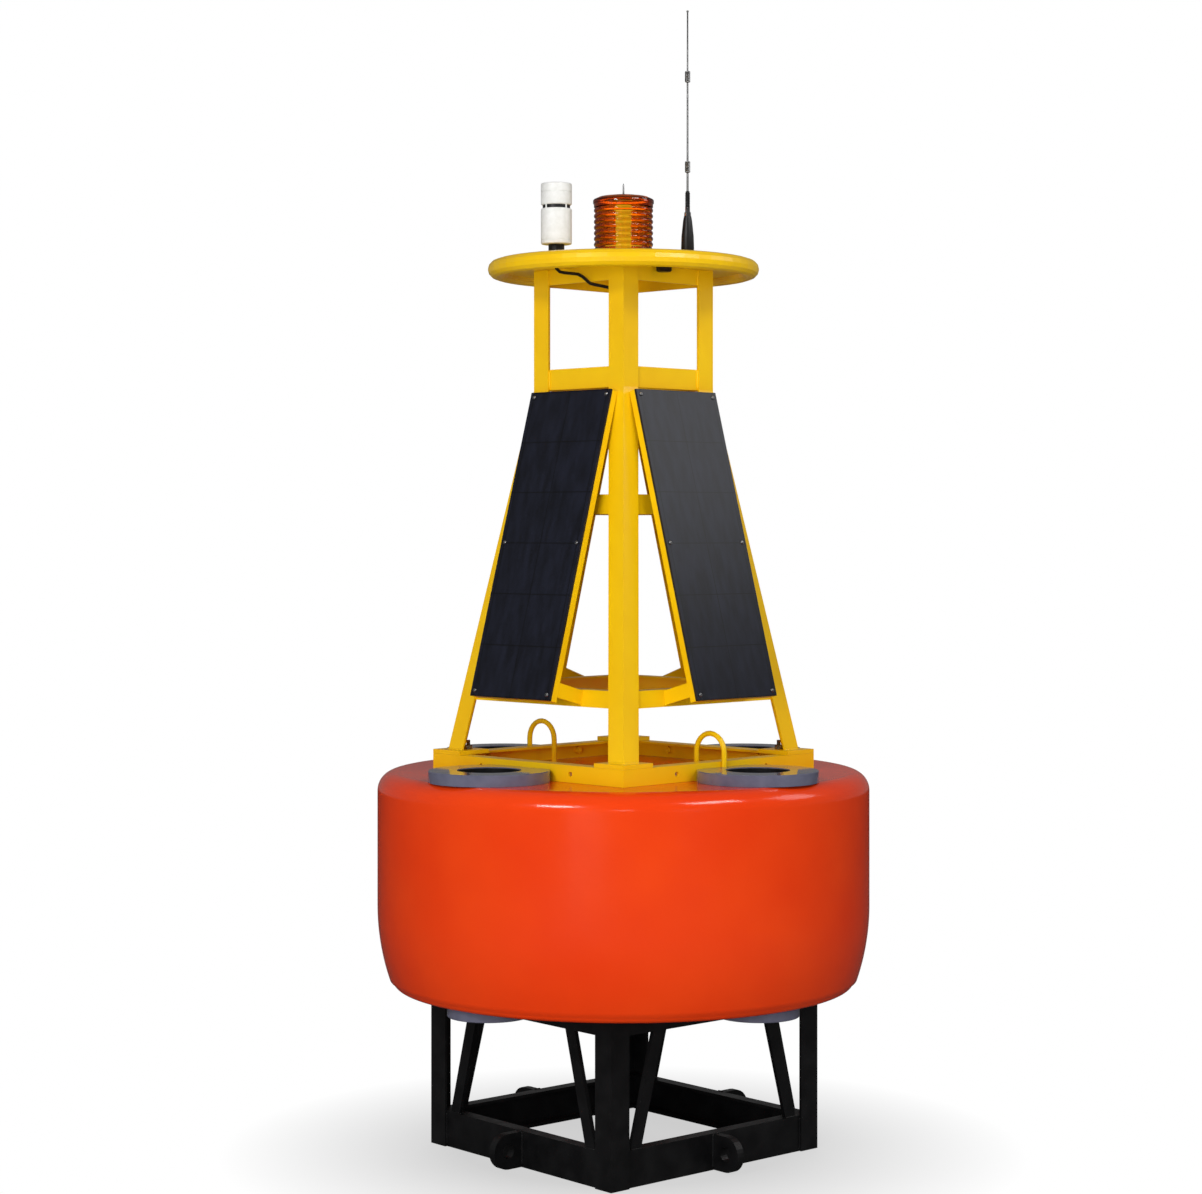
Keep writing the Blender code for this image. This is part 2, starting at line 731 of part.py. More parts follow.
def build_panels():
    plane = panel_frame_matrix()
    half = PANEL_WIDTH / 2
    face = -PANEL_THICKNESS - SEAT
    back = face - PANEL_FRAME_DEPTH
    wall = PANEL_RAIL_WALL
    profile = [
        (0, back),
        (0, face),
        (PANEL_RAIL_WIDTH, face),
        (PANEL_RAIL_WIDTH, face - wall),
        (wall, face - wall),
        (wall, back),
    ]
    for k, side in enumerate(SIDES):
        panel = box((-half, 0, -PANEL_THICKNESS), (half, PANEL_LENGTH, 0))
        bmesh.ops.transform(panel, matrix=plane, verts=panel.verts)
        turn(add_object("solar_panel_" + side, panel, "panel_dark", 0.2), corner_angle(k))
        sections = []
        for sx, y, sy in ((1, 0, 1), (1, PANEL_LENGTH, -1), (-1, PANEL_LENGTH, -1), (-1, 0, 1)):
            sections.append([(sx * (half - inset), y + sy * inset, n) for inset, n in profile])
        rails = loft(sections, closed_loop=True)
        bmesh.ops.transform(rails, matrix=plane, verts=rails.verts)
        turn(add_object("panel_frame_" + side, rails, "tower_yellow"), corner_angle(k))


def build_top_plate():
    rim = TOP_RIM_DIAMETER / 2
    ring = TOP_PLATE_DIAMETER / 2 - rim
    open_angle = math.degrees(math.asin(TOP_SHEET_THICKNESS / 2 / rim))
    profile = [(0, SHEET_BOTTOM)]
    profile += arc((ring, RIM_HEIGHT), rim, 180 + open_angle, 540 - open_angle, 12)
    profile.append((0, SHEET_TOP))
    add_object("top_plate", turned(profile, TOP_SEGMENTS), "tower_yellow", smooth=True)


def build_lantern():
    floor = INSTRUMENT_FLOOR
    base_top = floor + LANTERN_BASE_HEIGHT
    base = [(0, floor), (LANTERN_BASE_RADIUS, floor), (LANTERN_BASE_RADIUS, base_top), (0, base_top)]
    add_object("lantern_base", turned(base, LANTERN_SEGMENTS), "plastic_black")
    low = base_top + SEAT
    high = low + LENS_HEIGHT
    pitch = (LENS_HEIGHT - 2 * LENS_FOOT_HEIGHT) / LENS_RIBS
    root = LENS_RADIUS - LENS_RIB_DEPTH
    lens = [(0, low), (LENS_RADIUS, low), (LENS_RADIUS, low + LENS_FOOT_HEIGHT)]
    for i in range(LENS_RIBS):
        z = low + LENS_FOOT_HEIGHT + i * pitch
        lens += [(root, z + pitch * 0.15), (LENS_RADIUS, z + pitch * 0.5), (root, z + pitch * 0.85)]
    lens += [(LENS_RADIUS, high - LENS_FOOT_HEIGHT), (LENS_RADIUS, high), (0, high)]
    add_object("lantern_lens", turned(lens, LANTERN_SEGMENTS), "lens_amber", 0.15)
    seat = high + SEAT
    cap = [(0, seat), (LANTERN_CAP_RADIUS, seat), (LANTERN_CAP_RADIUS, seat + LANTERN_CAP_EDGE)]
    cap += [
        (LANTERN_CAP_RADIUS * 0.8, seat + LANTERN_CAP_HEIGHT * 0.85),
        (LANTERN_CAP_RADIUS * 0.4, seat + LANTERN_CAP_HEIGHT),
        (SPIKE_RADIUS, seat + LANTERN_CAP_HEIGHT),
        (SPIKE_RADIUS, seat + LANTERN_CAP_HEIGHT + SPIKE_HEIGHT - SPIKE_RADIUS * 2),
        (0, seat + LANTERN_CAP_HEIGHT + SPIKE_HEIGHT),
    ]
    add_object("lantern_cap", turned(cap, LANTERN_SEGMENTS), "lens_amber", 0.2)


def build_sensor():
    floor = INSTRUMENT_FLOOR
    r = SENSOR_MOUNT_RADIUS
    mount_top = floor + SENSOR_MOUNT_HEIGHT
    mount = [(0, floor), (r, floor), (r, mount_top), (0, mount_top)]
    move(add_object("sensor_mount", turned(mount, 24), "plastic_black"), *SENSOR_PLACE)
    low = mount_top + SEAT
    waist = low + SENSOR_BODY_HEIGHT
    head = waist + SENSOR_GAP
    top = head + SENSOR_HEAD_HEIGHT
    r = SENSOR_RADIUS
    edge = SENSOR_EDGE
    body = [
        (0, low),
        (r - edge, low),
        (r, low + edge),
        (r, waist - edge),
        (r - edge, waist),
        (SENSOR_NECK_RADIUS, waist),
        (SENSOR_NECK_RADIUS, head),
        (r - edge, head),
        (r, head + edge),
        (r, top - edge),
        (r - edge, top),
        (0, top),
    ]
    item = add_object("weather_sensor", turned(body, 28), "plastic_white")
    posts = bmesh.new()
    for i in range(SENSOR_POSTS):
        angle = math.tau * (i + 0.5) / SENSOR_POSTS
        x = SENSOR_POST_CIRCLE * math.cos(angle)
        y = SENSOR_POST_CIRCLE * math.sin(angle)
        centre = (x, y, waist + SENSOR_GAP / 2)
        pin(posts, SENSOR_POST_RADIUS, SENSOR_GAP + 2 * edge, centre, segments=8)
    tool = cutter("sensor_posts", posts)
    combine(item, tool, "UNION")
    move(tool, *SENSOR_PLACE)
    move(item, *SENSOR_PLACE)


def build_antenna():
    floor = INSTRUMENT_FLOOR
    foot_top = floor + ANTENNA_FOOT_HEIGHT
    shoulder = foot_top + ANTENNA_BASE_HEIGHT
    neck_top = shoulder + ANTENNA_NECK_HEIGHT
    base = [
        (0, floor),
        (ANTENNA_FOOT_RADIUS, floor),
        (ANTENNA_FOOT_RADIUS, foot_top),
        (ANTENNA_BASE_RADIUS, foot_top),
        (ANTENNA_NECK_RADIUS * 1.4, shoulder),
        (ANTENNA_NECK_RADIUS, shoulder + ANTENNA_SHOULDER_HEIGHT),
        (ANTENNA_NECK_RADIUS, neck_top),
        (0, neck_top),
    ]
    move(add_object("antenna_base", turned(base, 28), "plastic_black"), ANTENNA_OFFSET, 0)
    rod_foot = neck_top + SEAT
    rod_tip = rod_foot + ANTENNA_ROD_LENGTH
    rod = [(0, rod_foot), (ANTENNA_ROD_RADIUS, rod_foot)]
    for centre in (rod_foot + LOW_COIL_ABOVE_ROD_FOOT, rod_tip - HIGH_COIL_BELOW_ROD_TIP):
        z0 = centre - COIL_LENGTH / 2
        z1 = centre + COIL_LENGTH / 2
        rod += [(ANTENNA_ROD_RADIUS, z0), (COIL_RADIUS, z0 + COIL_TAPER)]
        rod += [(COIL_RADIUS, z1 - COIL_TAPER), (ANTENNA_ROD_RADIUS, z1)]
    rod += [(ANTENNA_ROD_RADIUS, rod_tip), (0, rod_tip)]
    item = add_object("antenna_rod", turned(rod, 14), "steel_grey", 0.35, 1.0)
    move(item, ANTENNA_OFFSET, 0)


def build_cable():
    x, y = SENSOR_PLACE
    under = SHEET_BOTTOM - SEAT
    grommet_low = under - GROMMET_THICKNESS
    grommet = [(0, grommet_low), (GROMMET_RADIUS - GLAND_EDGE, grommet_low), (GROMMET_RADIUS, under)]
    grommet.append((0, under))
    move(add_object("cable_grommet", turned(grommet, 16), "plastic_black"), x, y)

    low = SHEET_BOTTOM - SPARE_GLAND_LENGTH
    spare = [(0, low), (SPARE_GLAND_RADIUS - GLAND_EDGE, low)]
    spare.append((SPARE_GLAND_RADIUS, low + GLAND_EDGE))
    spare += [(SPARE_GLAND_RADIUS, under), (0, under)]
    move(add_object("spare_gland", turned(spare, 16), "plastic_black"), *SPARE_GLAND_PLACE)

    deck = HULL_TOP + SEAT
    nut = deck + GLAND_NUT_HEIGHT
    gland_top = deck + GLAND_LENGTH
    gland = [(0, deck), (GLAND_RADIUS, deck), (GLAND_RADIUS, nut), (GLAND_DOME_RADIUS, nut)]
    gland.append((GLAND_DOME_RADIUS, gland_top - GLAND_EDGE))
    gland.append((GLAND_DOME_RADIUS - GLAND_EDGE, gland_top))
    gland.append((0, gland_top))
    front = -DECK_GLAND_FROM_AXIS
    move(add_object("cable_gland", turned(gland, 16), "plastic_black"), 0, front)

    def behind_leg(z):
        """The cable's place inside the shelves of the rings, behind the front leg."""
        inside = leg_half(z) - RING_INSET - RING_SHELF
        return (0, -(inside * math.sqrt(2) - CABLE_FROM_SHELF - CABLE_DIAMETER / 2), z)

    start = grommet_low - SEAT - CABLE_STUB
    bar_foot = under - TOP_RING_HEIGHT
    below_bar = bar_foot - CABLE_DIAMETER
    route = [
        (x, y, start),
        (x + 0.005, y + 0.003, start - 0.006),
        (x + 0.016, y + 0.008, start - 0.009),
        (x + 0.034, y + 0.017, start - 0.010),
        (x + 0.054, y + 0.026, start - 0.012),
        (x + 0.069, y + 0.030, (start + below_bar) / 2 - 0.005),
        (x + 0.080, y + 0.0315, below_bar + 0.003),
        (x + 0.092, y + 0.032, below_bar),
        (x + 0.112, y + 0.029, below_bar - 0.004),
        (x + 0.134, y + 0.022, below_bar - 0.012),
        (x + 0.150, y + 0.018, below_bar - 0.030),
        (x + 0.159, y + 0.018, below_bar - 0.060),
        behind_leg(TOWER_KNEE + CAGE_RING_HEIGHT + 0.050),
        behind_leg(TOWER_KNEE + 0.020),
        behind_leg(TOWER_KNEE - 0.080),
        behind_leg(HULL_TOP + MID_RING_ABOVE_HULL + 0.060),
        behind_leg(HULL_TOP + MID_RING_ABOVE_HULL - 0.060),
        behind_leg(outrigger_ring_foot() + 0.120),
        behind_leg(outrigger_ring_foot() + OUTRIGGER_RING_HEIGHT),
        (0, front - 0.022, gland_top + 0.085),
        (0, front - 0.004, gland_top + 0.035),
        (0, front, gland_top + CABLE_STUB + SEAT),
    ]
    path = smooth_path(route, CABLE_BEND_STEP, CABLE_BEND_LENGTH, CABLE_STEP)
    path = [(x, y, start + CABLE_STUB), *path, (0, front, gland_top + SEAT)]
    tube("sensor_cable", path, CABLE_DIAMETER, "plastic_black", 0.5)


clear_scene()
build_underframe()
build_hull()
build_wells()
build_base_ring()
build_lifting_eyes()
build_tower_legs()
build_tower_rings()
build_panels()
build_top_plate()
build_lantern()
build_sensor()
build_antenna()
build_cable()
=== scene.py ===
# %% [markdown]
# # A navigation buoy in the studio
#
# The buoy is a foam float with a steel tower on it, photographed on a white ground.
# The solids come from the CAD frame. This lesson gives them their finishes, draws the
# round ones again with finer steps, and adds the small things that the solids leave
# out: bolts, welds, the lamp's optics, the whip's springs. Every piece is drawn in
# the same frame, in metres, with Z up.

import json
import math
import random

import bmesh
import bpy
from mathutils import Matrix, Vector


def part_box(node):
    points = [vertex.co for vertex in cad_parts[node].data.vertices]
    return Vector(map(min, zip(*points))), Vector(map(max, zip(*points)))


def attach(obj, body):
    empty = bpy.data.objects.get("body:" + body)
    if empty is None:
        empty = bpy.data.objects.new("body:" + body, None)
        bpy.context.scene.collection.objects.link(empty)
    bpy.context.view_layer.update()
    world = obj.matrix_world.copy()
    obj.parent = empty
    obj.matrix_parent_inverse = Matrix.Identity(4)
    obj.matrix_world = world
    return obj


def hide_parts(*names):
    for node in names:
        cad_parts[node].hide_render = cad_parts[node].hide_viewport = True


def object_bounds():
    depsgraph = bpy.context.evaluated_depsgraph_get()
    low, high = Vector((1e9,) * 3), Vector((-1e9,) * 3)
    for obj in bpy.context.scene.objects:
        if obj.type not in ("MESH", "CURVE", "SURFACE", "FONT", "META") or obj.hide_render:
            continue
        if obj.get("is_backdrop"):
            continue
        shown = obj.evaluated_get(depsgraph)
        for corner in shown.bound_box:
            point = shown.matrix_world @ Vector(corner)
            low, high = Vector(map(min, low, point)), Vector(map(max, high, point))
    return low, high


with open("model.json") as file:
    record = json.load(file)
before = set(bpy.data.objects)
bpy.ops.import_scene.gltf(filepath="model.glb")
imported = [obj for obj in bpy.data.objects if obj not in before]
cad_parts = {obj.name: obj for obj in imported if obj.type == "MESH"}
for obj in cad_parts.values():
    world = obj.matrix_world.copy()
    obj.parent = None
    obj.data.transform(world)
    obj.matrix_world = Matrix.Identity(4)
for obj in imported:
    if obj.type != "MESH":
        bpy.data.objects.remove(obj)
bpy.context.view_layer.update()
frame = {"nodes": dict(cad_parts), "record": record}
nodes = frame["nodes"]
random.seed(7)

# %% [markdown]
# ## Shader helpers
#
# Blender's colours are linear, and a colour read from a photo is sRGB, so one
# function turns a hex code into linear numbers. A second one adds a shader node: its
# settings and socket values come in one dict and its links in another. The others
# are short names for the nodes that most finishes need.


# %% Shader helpers
def linear(code):
    """An sRGB hex code as a linear RGBA colour."""
    channels = [int(code[i : i + 2], 16) / 255 for i in (0, 2, 4)]
    curve = [c / 12.92 if c <= 0.04045 else ((c + 0.055) / 1.055) ** 2.4 for c in channels]
    return (*curve, 1.0)


def add(tree, kind, settings=None, links=None):
    """Add a node, set its settings or socket values, and plug links into it."""
    node = tree.nodes.new(kind)
    for key, value in (settings or {}).items():
        if isinstance(key, str) and hasattr(node, key):
            setattr(node, key, value)
        else:
            node.inputs[key].default_value = value
    for key, socket in (links or {}).items():
        tree.links.new(socket, node.inputs[key])
    return node


def start_material(name, colour, roughness, metallic=0.0, ior=1.5):
    """A named material with a Principled shader, and its object coordinates."""
    material = bpy.data.materials.new(name)
    material.use_nodes = True
    tree = material.node_tree
    shader = tree.nodes["Principled BSDF"]
    shader.inputs["Base Color"].default_value = linear(colour)
    shader.inputs["Roughness"].default_value = roughness
    shader.inputs["Metallic"].default_value = metallic
    shader.inputs["IOR"].default_value = ior
    place = add(tree, "ShaderNodeTexCoord").outputs["Object"]
    return material, tree, shader, place


def compute(tree, operation, first, second=None):
    """One step of arithmetic on a value, with a number or a second value."""
    settings = {"operation": operation}
    links = {0: first}
    if isinstance(second, bpy.types.NodeSocket):
        links[1] = second
    elif second is not None:
        settings[1] = second
    return add(tree, "ShaderNodeMath", settings, links).outputs[0]


def compute_vector(tree, operation, first, second=None):
    """One step of arithmetic on a vector. LENGTH gives a value, the rest a vector."""
    settings = {"operation": operation}
    if second is not None:
        settings[1] = second
    node = add(tree, "ShaderNodeVectorMath", settings, {0: first})
    return node.outputs["Value" if operation == "LENGTH" else "Vector"]


def noise(tree, place, size, detail=2.0):
    """Noise whose lumps are about a given size in metres."""
    settings = {"Scale": 1 / size, "Detail": detail}
    return add(tree, "ShaderNodeTexNoise", settings, {"Vector": place}).outputs["Fac"]


def tint(tree, factor, first, second):
    """A colour between two hex codes."""
    mix = add(tree, "ShaderNodeMix", {"data_type": "RGBA", 6: linear(first), 7: linear(second)})
    tree.links.new(factor, mix.inputs[0])
    return mix.outputs[2]


def span(tree, value, low, high, to_low=0.0, to_high=1.0):
    """Stretch a value from one range to another, clamped."""
    settings = {"From Min": low, "From Max": high, "To Min": to_low, "To Max": to_high}
    return add(tree, "ShaderNodeMapRange", settings, {"Value": value}).outputs["Result"]


def relief(tree, height, depth, under=None):
    """A bump of a real depth in metres, on top of another one if given."""
    links = {"Height": height}
    if under is not None:
        links["Normal"] = under
    settings = {"Distance": depth, "Strength": 1.0}
    return add(tree, "ShaderNodeBump", settings, links).outputs["Normal"]


materials = {}
print("shader helpers ready")

# %% [markdown]
# ## Sprayed orange skin
#
# The float is foam with a sprayed polyurea skin. Sprayed skins cure before they flow
# flat, so the surface keeps an orange peel of a few millimetres and slow waves of
# some centimetres. Both are bumps on one glossy shader: the waves break up long
# highlights, the peel softens them.

# %% Sprayed orange skin
skin, tree, shader, place = start_material("sprayed polyurea orange", "F0400C", 0.15)
peel = noise(tree, place, 0.006)
waves = noise(tree, place, 0.060)
shade = span(tree, noise(tree, place, 0.25), 0.3, 0.7)
tree.links.new(tint(tree, shade, "EC3C0A", "F2440E"), shader.inputs["Base Color"])
lumps = relief(tree, waves, 0.0008)
tree.links.new(relief(tree, peel, 0.00016, lumps), shader.inputs["Normal"])
materials["hull_skin"] = skin
print("material:", skin.name)

# %% [markdown]
# ## Yellow powder coat
#
# The tower is welded angle bar with a yellow powder coat. The powder melts into a
# satin film with a fine peel of about two millimetres. A slow change of tone keeps
# long bars from looking printed.

# %% Yellow powder coat
yellow, tree, shader, place = start_material("yellow powder coat", "F8C606", 0.30)
shade = span(tree, noise(tree, place, 0.12), 0.3, 0.7)
tree.links.new(tint(tree, shade, "F5C104", "FBCB08"), shader.inputs["Base Color"])
tree.links.new(relief(tree, noise(tree, place, 0.0025), 0.00012), shader.inputs["Normal"])
materials["tower_yellow"] = yellow
print("material:", yellow.name)

# %% [markdown]
# ## Black coated steel
#
# The underframe lies under water in use, so it has a thick black coating with a
# rougher, duller film than the tower's.

# %% Black coated steel
black, tree, shader, place = start_material("black epoxy coat on steel", "0F0F10", 0.42)
shade = span(tree, noise(tree, place, 0.05), 0.35, 0.7)
tree.links.new(tint(tree, shade, "0D0D0E", "161617"), shader.inputs["Base Color"])
tree.links.new(span(tree, shade, 0, 1, 0.36, 0.50), shader.inputs["Roughness"])
tree.links.new(relief(tree, noise(tree, place, 0.003), 0.0002), shader.inputs["Normal"])
materials["frame_black"] = black
print("material:", black.name)

# %% [markdown]
# ## Turned grey plastic
#
# The flanges of the four wells are turned from grey plastic. A lathe tool leaves
# fine rings round the well's axis. The four wells stand at like places in the four
# quadrants, so folding X and Y to their sizes puts all four axes on one point, and
# one wave over the distance from it draws all their rings.

# %% Turned grey plastic
WELL_FROM_AXIS = 0.443
TOOL_RING_PITCH = 0.0016
TOOL_RING_DEPTH = 0.0000015
well_x = WELL_FROM_AXIS / math.sqrt(2)
grey, tree, shader, place = start_material("turned grey PVC", "66667A", 0.06)
fold = compute_vector(tree, "ABSOLUTE", place)
offset = compute_vector(tree, "SUBTRACT", fold, (well_x, well_x, 0))
flat = compute_vector(tree, "MULTIPLY", offset, (1, 1, 0))
radius = compute_vector(tree, "LENGTH", flat)
wave = compute(tree, "MULTIPLY", radius, math.tau / TOOL_RING_PITCH)
tool_rings = compute(tree, "SINE", wave)
shade = span(tree, noise(tree, place, 0.03), 0.3, 0.7)
tree.links.new(tint(tree, shade, "5F6072", "696A7C"), shader.inputs["Base Color"])
tree.links.new(relief(tree, tool_rings, TOOL_RING_DEPTH), shader.inputs["Normal"])
materials["well_grey"] = grey
print("material:", grey.name)

# %% [markdown]
# ## Solar laminate
#
# Each panel holds two columns of six dark cells under a matt film. Cells of this
# kind have their contacts on the back, so from the front there is only a faint
# darker line between them. The four panels lean the same way in the four quadrants,
# so X and Y are folded again: half their difference runs across a panel, and the
# height, divided by the cosine of the lean, runs up it.

# %% Solar laminate
CELL = 0.1255
LINE_CORE = 0.006  # a line's dark middle and soft edge, as shares of a cell
LINE_EDGE = 0.012
STREAK_STRETCH = 0.08
PANEL_LEAN = math.radians(15.4)
panel_low, panel_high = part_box("solar_panel_front_left")
laminate, tree, shader, place = start_material("solar laminate", "15161E", 0.30, 0.0, 1.40)
fold = compute_vector(tree, "ABSOLUTE", place)
axes = add(tree, "ShaderNodeSeparateXYZ", {}, {0: fold})
across = compute(tree, "SUBTRACT", axes.outputs[0], axes.outputs[1])
upward = compute(tree, "SUBTRACT", axes.outputs[2], (panel_low.z + panel_high.z) / 2)
lines = []
for value, scale in ((across, 1 / math.sqrt(2)), (upward, 1 / math.cos(PANEL_LEAN))):
    cells = compute(tree, "MULTIPLY", value, scale / CELL)
    to_line = compute(tree, "PINGPONG", cells, 0.5)
    lines.append(span(tree, to_line, LINE_CORE, LINE_EDGE, 1.0, 0.0))
grid = compute(tree, "MAXIMUM", *lines)
stretch = {"Scale": (1, 1, STREAK_STRETCH)}
streak = add(tree, "ShaderNodeMapping", stretch, {"Vector": place}).outputs[0]
shade = span(tree, noise(tree, streak, 0.02, 4.0), 0.35, 0.65)
cell_tone = tint(tree, shade, "13141C", "1C1E2A")
line_tone = {"data_type": "RGBA", 7: linear("0B0B0E")}
mix = add(tree, "ShaderNodeMix", line_tone, {0: grid, 6: cell_tone})
tree.links.new(mix.outputs[2], shader.inputs["Base Color"])
tree.links.new(relief(tree, noise(tree, place, 0.0014), 0.00006), shader.inputs["Normal"])
materials["panel_face"] = laminate
print("material:", laminate.name)

# %% [markdown]
# ## Plastics, cable and metals
#
# The small parts share a few finishes that differ only in colour, gloss and grain:
# moulded white and black plastics with a fine spark-eroded grain, a dull cable
# sheath, and metals. A loop over a table makes them all. The table gives a name, two
# tones, the roughness, how metallic it is, and the size of its grain in metres. The
# lamp's mask glows a little: it stands for the daylight in the lantern, which the
# renderer's shadow rays don't bring through a clear shell.

# %% Plastics, cable and metals
FINISHES = {
    "plastic_white": ("moulded white plastic", "EDEDEA", "E6E6E2", 0.38, 0.0, 0.0012),
    "plastic_black": ("moulded black plastic", "101011", "17171A", 0.40, 0.0, 0.0010),
    "cable_black": ("cable sheath", "151515", "1D1D1D", 0.55, 0.0, 0.0015),
    "rod_steel": ("stainless steel", "A2A2A2", "B0B0B0", 0.42, 1.0, 0.0004),
    "zinc": ("zinc plated steel", "8E8E88", "A9A89F", 0.34, 1.0, 0.0008),
    "chrome": ("chromed brass", "D8D8DA", "E0E0E2", 0.10, 1.0, 0.0020),
    "pearl": ("lamp electronics, white mask", "E8E8E0", "F2F2EC", 0.45, 0.0, 0.0010),
}
TONE_TO_GRAIN = 8
DEPTH_TO_GRAIN = 0.02
for key, (name, first, second, roughness, metallic, grain) in FINISHES.items():
    finish, tree, shader, place = start_material(name, first, roughness, metallic)
    shade = span(tree, noise(tree, place, grain * TONE_TO_GRAIN), 0.35, 0.65)
    tree.links.new(tint(tree, shade, first, second), shader.inputs["Base Color"])
    fine = relief(tree, noise(tree, place, grain), grain * DEPTH_TO_GRAIN)
    tree.links.new(fine, shader.inputs["Normal"])
    materials[key] = finish
mask = materials["pearl"].node_tree.nodes["Principled BSDF"]
mask.inputs["Emission Color"].default_value = linear("D2FF9A")
mask.inputs["Emission Strength"].default_value = 1.2
print("finishes:", len(FINISHES))

# %% [markdown]
# ## Amber acrylic
#
# The lantern's lens is clear plastic, dyed amber. A full transmission with a dyed
# base colour tints the light at each surface. The dye in the wall is a volume that
# takes blue and some green out of the light, so the sides of the shell, where the
# eye looks through more plastic, come out darker and browner than its middle.

# %% Amber acrylic
DYE_KEEPS = (0.75, 0.55, 0.0, 1.0)  # linear red, green and blue
DYE_DENSITY = 370.0
amber, tree, shader, place = start_material("amber acrylic", "F29A12", 0.06, 0.0, 1.49)
shader.inputs["Transmission Weight"].default_value = 1.0
shade = span(tree, noise(tree, place, 0.02), 0.3, 0.7)
tree.links.new(tint(tree, shade, "F4BE54", "F8C65E"), shader.inputs["Base Color"])
dye = add(tree, "ShaderNodeVolumeAbsorption", {"Color": DYE_KEEPS, "Density": DYE_DENSITY})
tree.links.new(dye.outputs[0], tree.nodes["Material Output"].inputs["Volume"])
materials["lens_amber"] = amber
print("material:", amber.name)

# %% [markdown]
# ## Finishes on the solids
#
# The record says which finish each solid takes. Every solid gets its material slot
# filled from that table.

# %% Finishes on the solids
for row in frame["record"]["subparts"]:
    mesh = nodes[row["node"]].data
    mesh.materials.clear()
    mesh.materials.append(materials[row["material_slot"]])

# %% [markdown]
# ## Building blocks for small pieces
#
# Small parts are turned, swept or extruded. `turned` spins a list of radius and
# height pairs, `swept` carries a circle along a path, and `prism` pushes an outline
# upwards. Each adds to a bmesh, so one piece can hold many bolts.


# %% Building blocks for small pieces
def turned(bm, profile, at=Matrix.Identity(4), segments=24):
    """Add a closed body of revolution from (radius, height) pairs, placed by a matrix."""
    columns = []
    for i in range(segments):
        angle = math.tau * i / segments
        column = []
        for r, z in profile:
            if r == 0:
                column.append(None)
            else:
                point = Vector((r * math.cos(angle), r * math.sin(angle), z))
                column.append(bm.verts.new(at @ point))
        columns.append(column)
    poles = [bm.verts.new(at @ Vector((0, 0, z))) if r == 0 else None for r, z in profile]
    for column, following in zip(columns, columns[1:] + columns[:1]):
        for j in range(len(profile) - 1):
            corners = [column[j] or poles[j], following[j] or poles[j]]
            corners += [following[j + 1] or poles[j + 1], column[j + 1] or poles[j + 1]]
            face = []
            for vert in corners:
                if vert not in face:
                    face.append(vert)
            if len(face) > 2:
                bm.faces.new(face)
    return bm


def raised(profile, z):
    """A profile whose heights are counted from z."""
    return [(r, z + height) for r, height in profile]


def swept(bm, path, radii, sides=8):
    """Add a tube along a path, with a radius for each point and closed ends."""
    rows = []
    normal = None
    for i, point in enumerate(path):
        ahead = path[min(i + 1, len(path) - 1)] - path[max(i - 1, 0)]
        ahead.normalize()
        if normal is None:
            normal = ahead.orthogonal().normalized()
        normal = (normal - ahead * normal.dot(ahead)).normalized()
        other = ahead.cross(normal)
        row = []
        for j in range(sides):
            angle = math.tau * j / sides
            out = normal * math.cos(angle) + other * math.sin(angle)
            row.append(bm.verts.new(point + radii[i] * out))
        rows.append(row)
    for row, following in zip(rows, rows[1:]):
        for j in range(sides):
            k = (j + 1) % sides
            bm.faces.new((row[j], row[k], following[k], following[j]))
    bm.faces.new(rows[0])
    bm.faces.new(rows[-1])
    return bm


def prism(bm, outline, low, high, at=Matrix.Identity(4), chamfer=0.0):
    """Add an outline pushed from one height to another, with a chamfered top."""
    levels = [(low, 1.0), (high - chamfer, 1.0)]
    if chamfer:
        reach = max(Vector(p).length for p in outline)
        levels.append((high, 1 - chamfer / reach))
    rows = []
    for z, scale in levels:
        rows.append([bm.verts.new(at @ Vector((x * scale, y * scale, z))) for x, y in outline])
    for row, following in zip(rows, rows[1:]):
        for j in range(len(row)):
            k = (j + 1) % len(row)
            bm.faces.new((row[j], row[k], following[k], following[j]))
    bm.faces.new(rows[0])
    bm.faces.new(rows[-1])
    return bm


print("building blocks ready")

# %% [markdown]
# ## Building blocks for larger faces
#
# The float and its wells have flat faces with holes in them. `lathe` gives an open
# surface of revolution and its rings of vertices, `arc` gives the points of a curve,
# and `fill_flat` closes the flat face between an outline and the rings of its holes.


# %% Building blocks for larger faces
def lathe(bm, profile, at, segments):
    """Add an open surface of revolution and return its rings of vertices."""
    rings = []
    for r, z in profile:
        ring = []
        for i in range(segments):
            angle = math.tau * i / segments
            ring.append(bm.verts.new(at @ Vector((r * math.cos(angle), r * math.sin(angle), z))))
        rings.append(ring)
    for ring, following in zip(rings, rings[1:]):
        join_loops(bm, ring, following)
    return rings


def join_loops(bm, loop, following):
    """Add the band of faces between two closed loops with as many vertices."""
    for i in range(len(loop)):
        j = (i + 1) % len(loop)
        bm.faces.new((loop[i], loop[j], following[j], following[i]))


def arc(centre, radius, start, end, steps):
    """Points of an arc, with angles in radians."""
    turns = [start + (end - start) * i / steps for i in range(steps + 1)]
    return [(centre[0] + radius * math.cos(t), centre[1] + radius * math.sin(t)) for t in turns]


def fill_flat(bm, outline, holes):
    """Fill the flat face between an outline and the holes in it."""
    edges = []
    for loop in (outline, *holes):
        for a, b in zip(loop, loop[1:] + loop[:1]):
            edges.append(bm.edges.get((a, b)) or bm.edges.new((a, b)))
    bmesh.ops.triangle_fill(bm, use_beauty=True, edges=edges)


def merge_doubles(bm):
    """Join vertices that lie on the same spot."""
    bmesh.ops.remove_doubles(bm, verts=bm.verts, dist=1e-6)


print("blocks for larger faces ready")
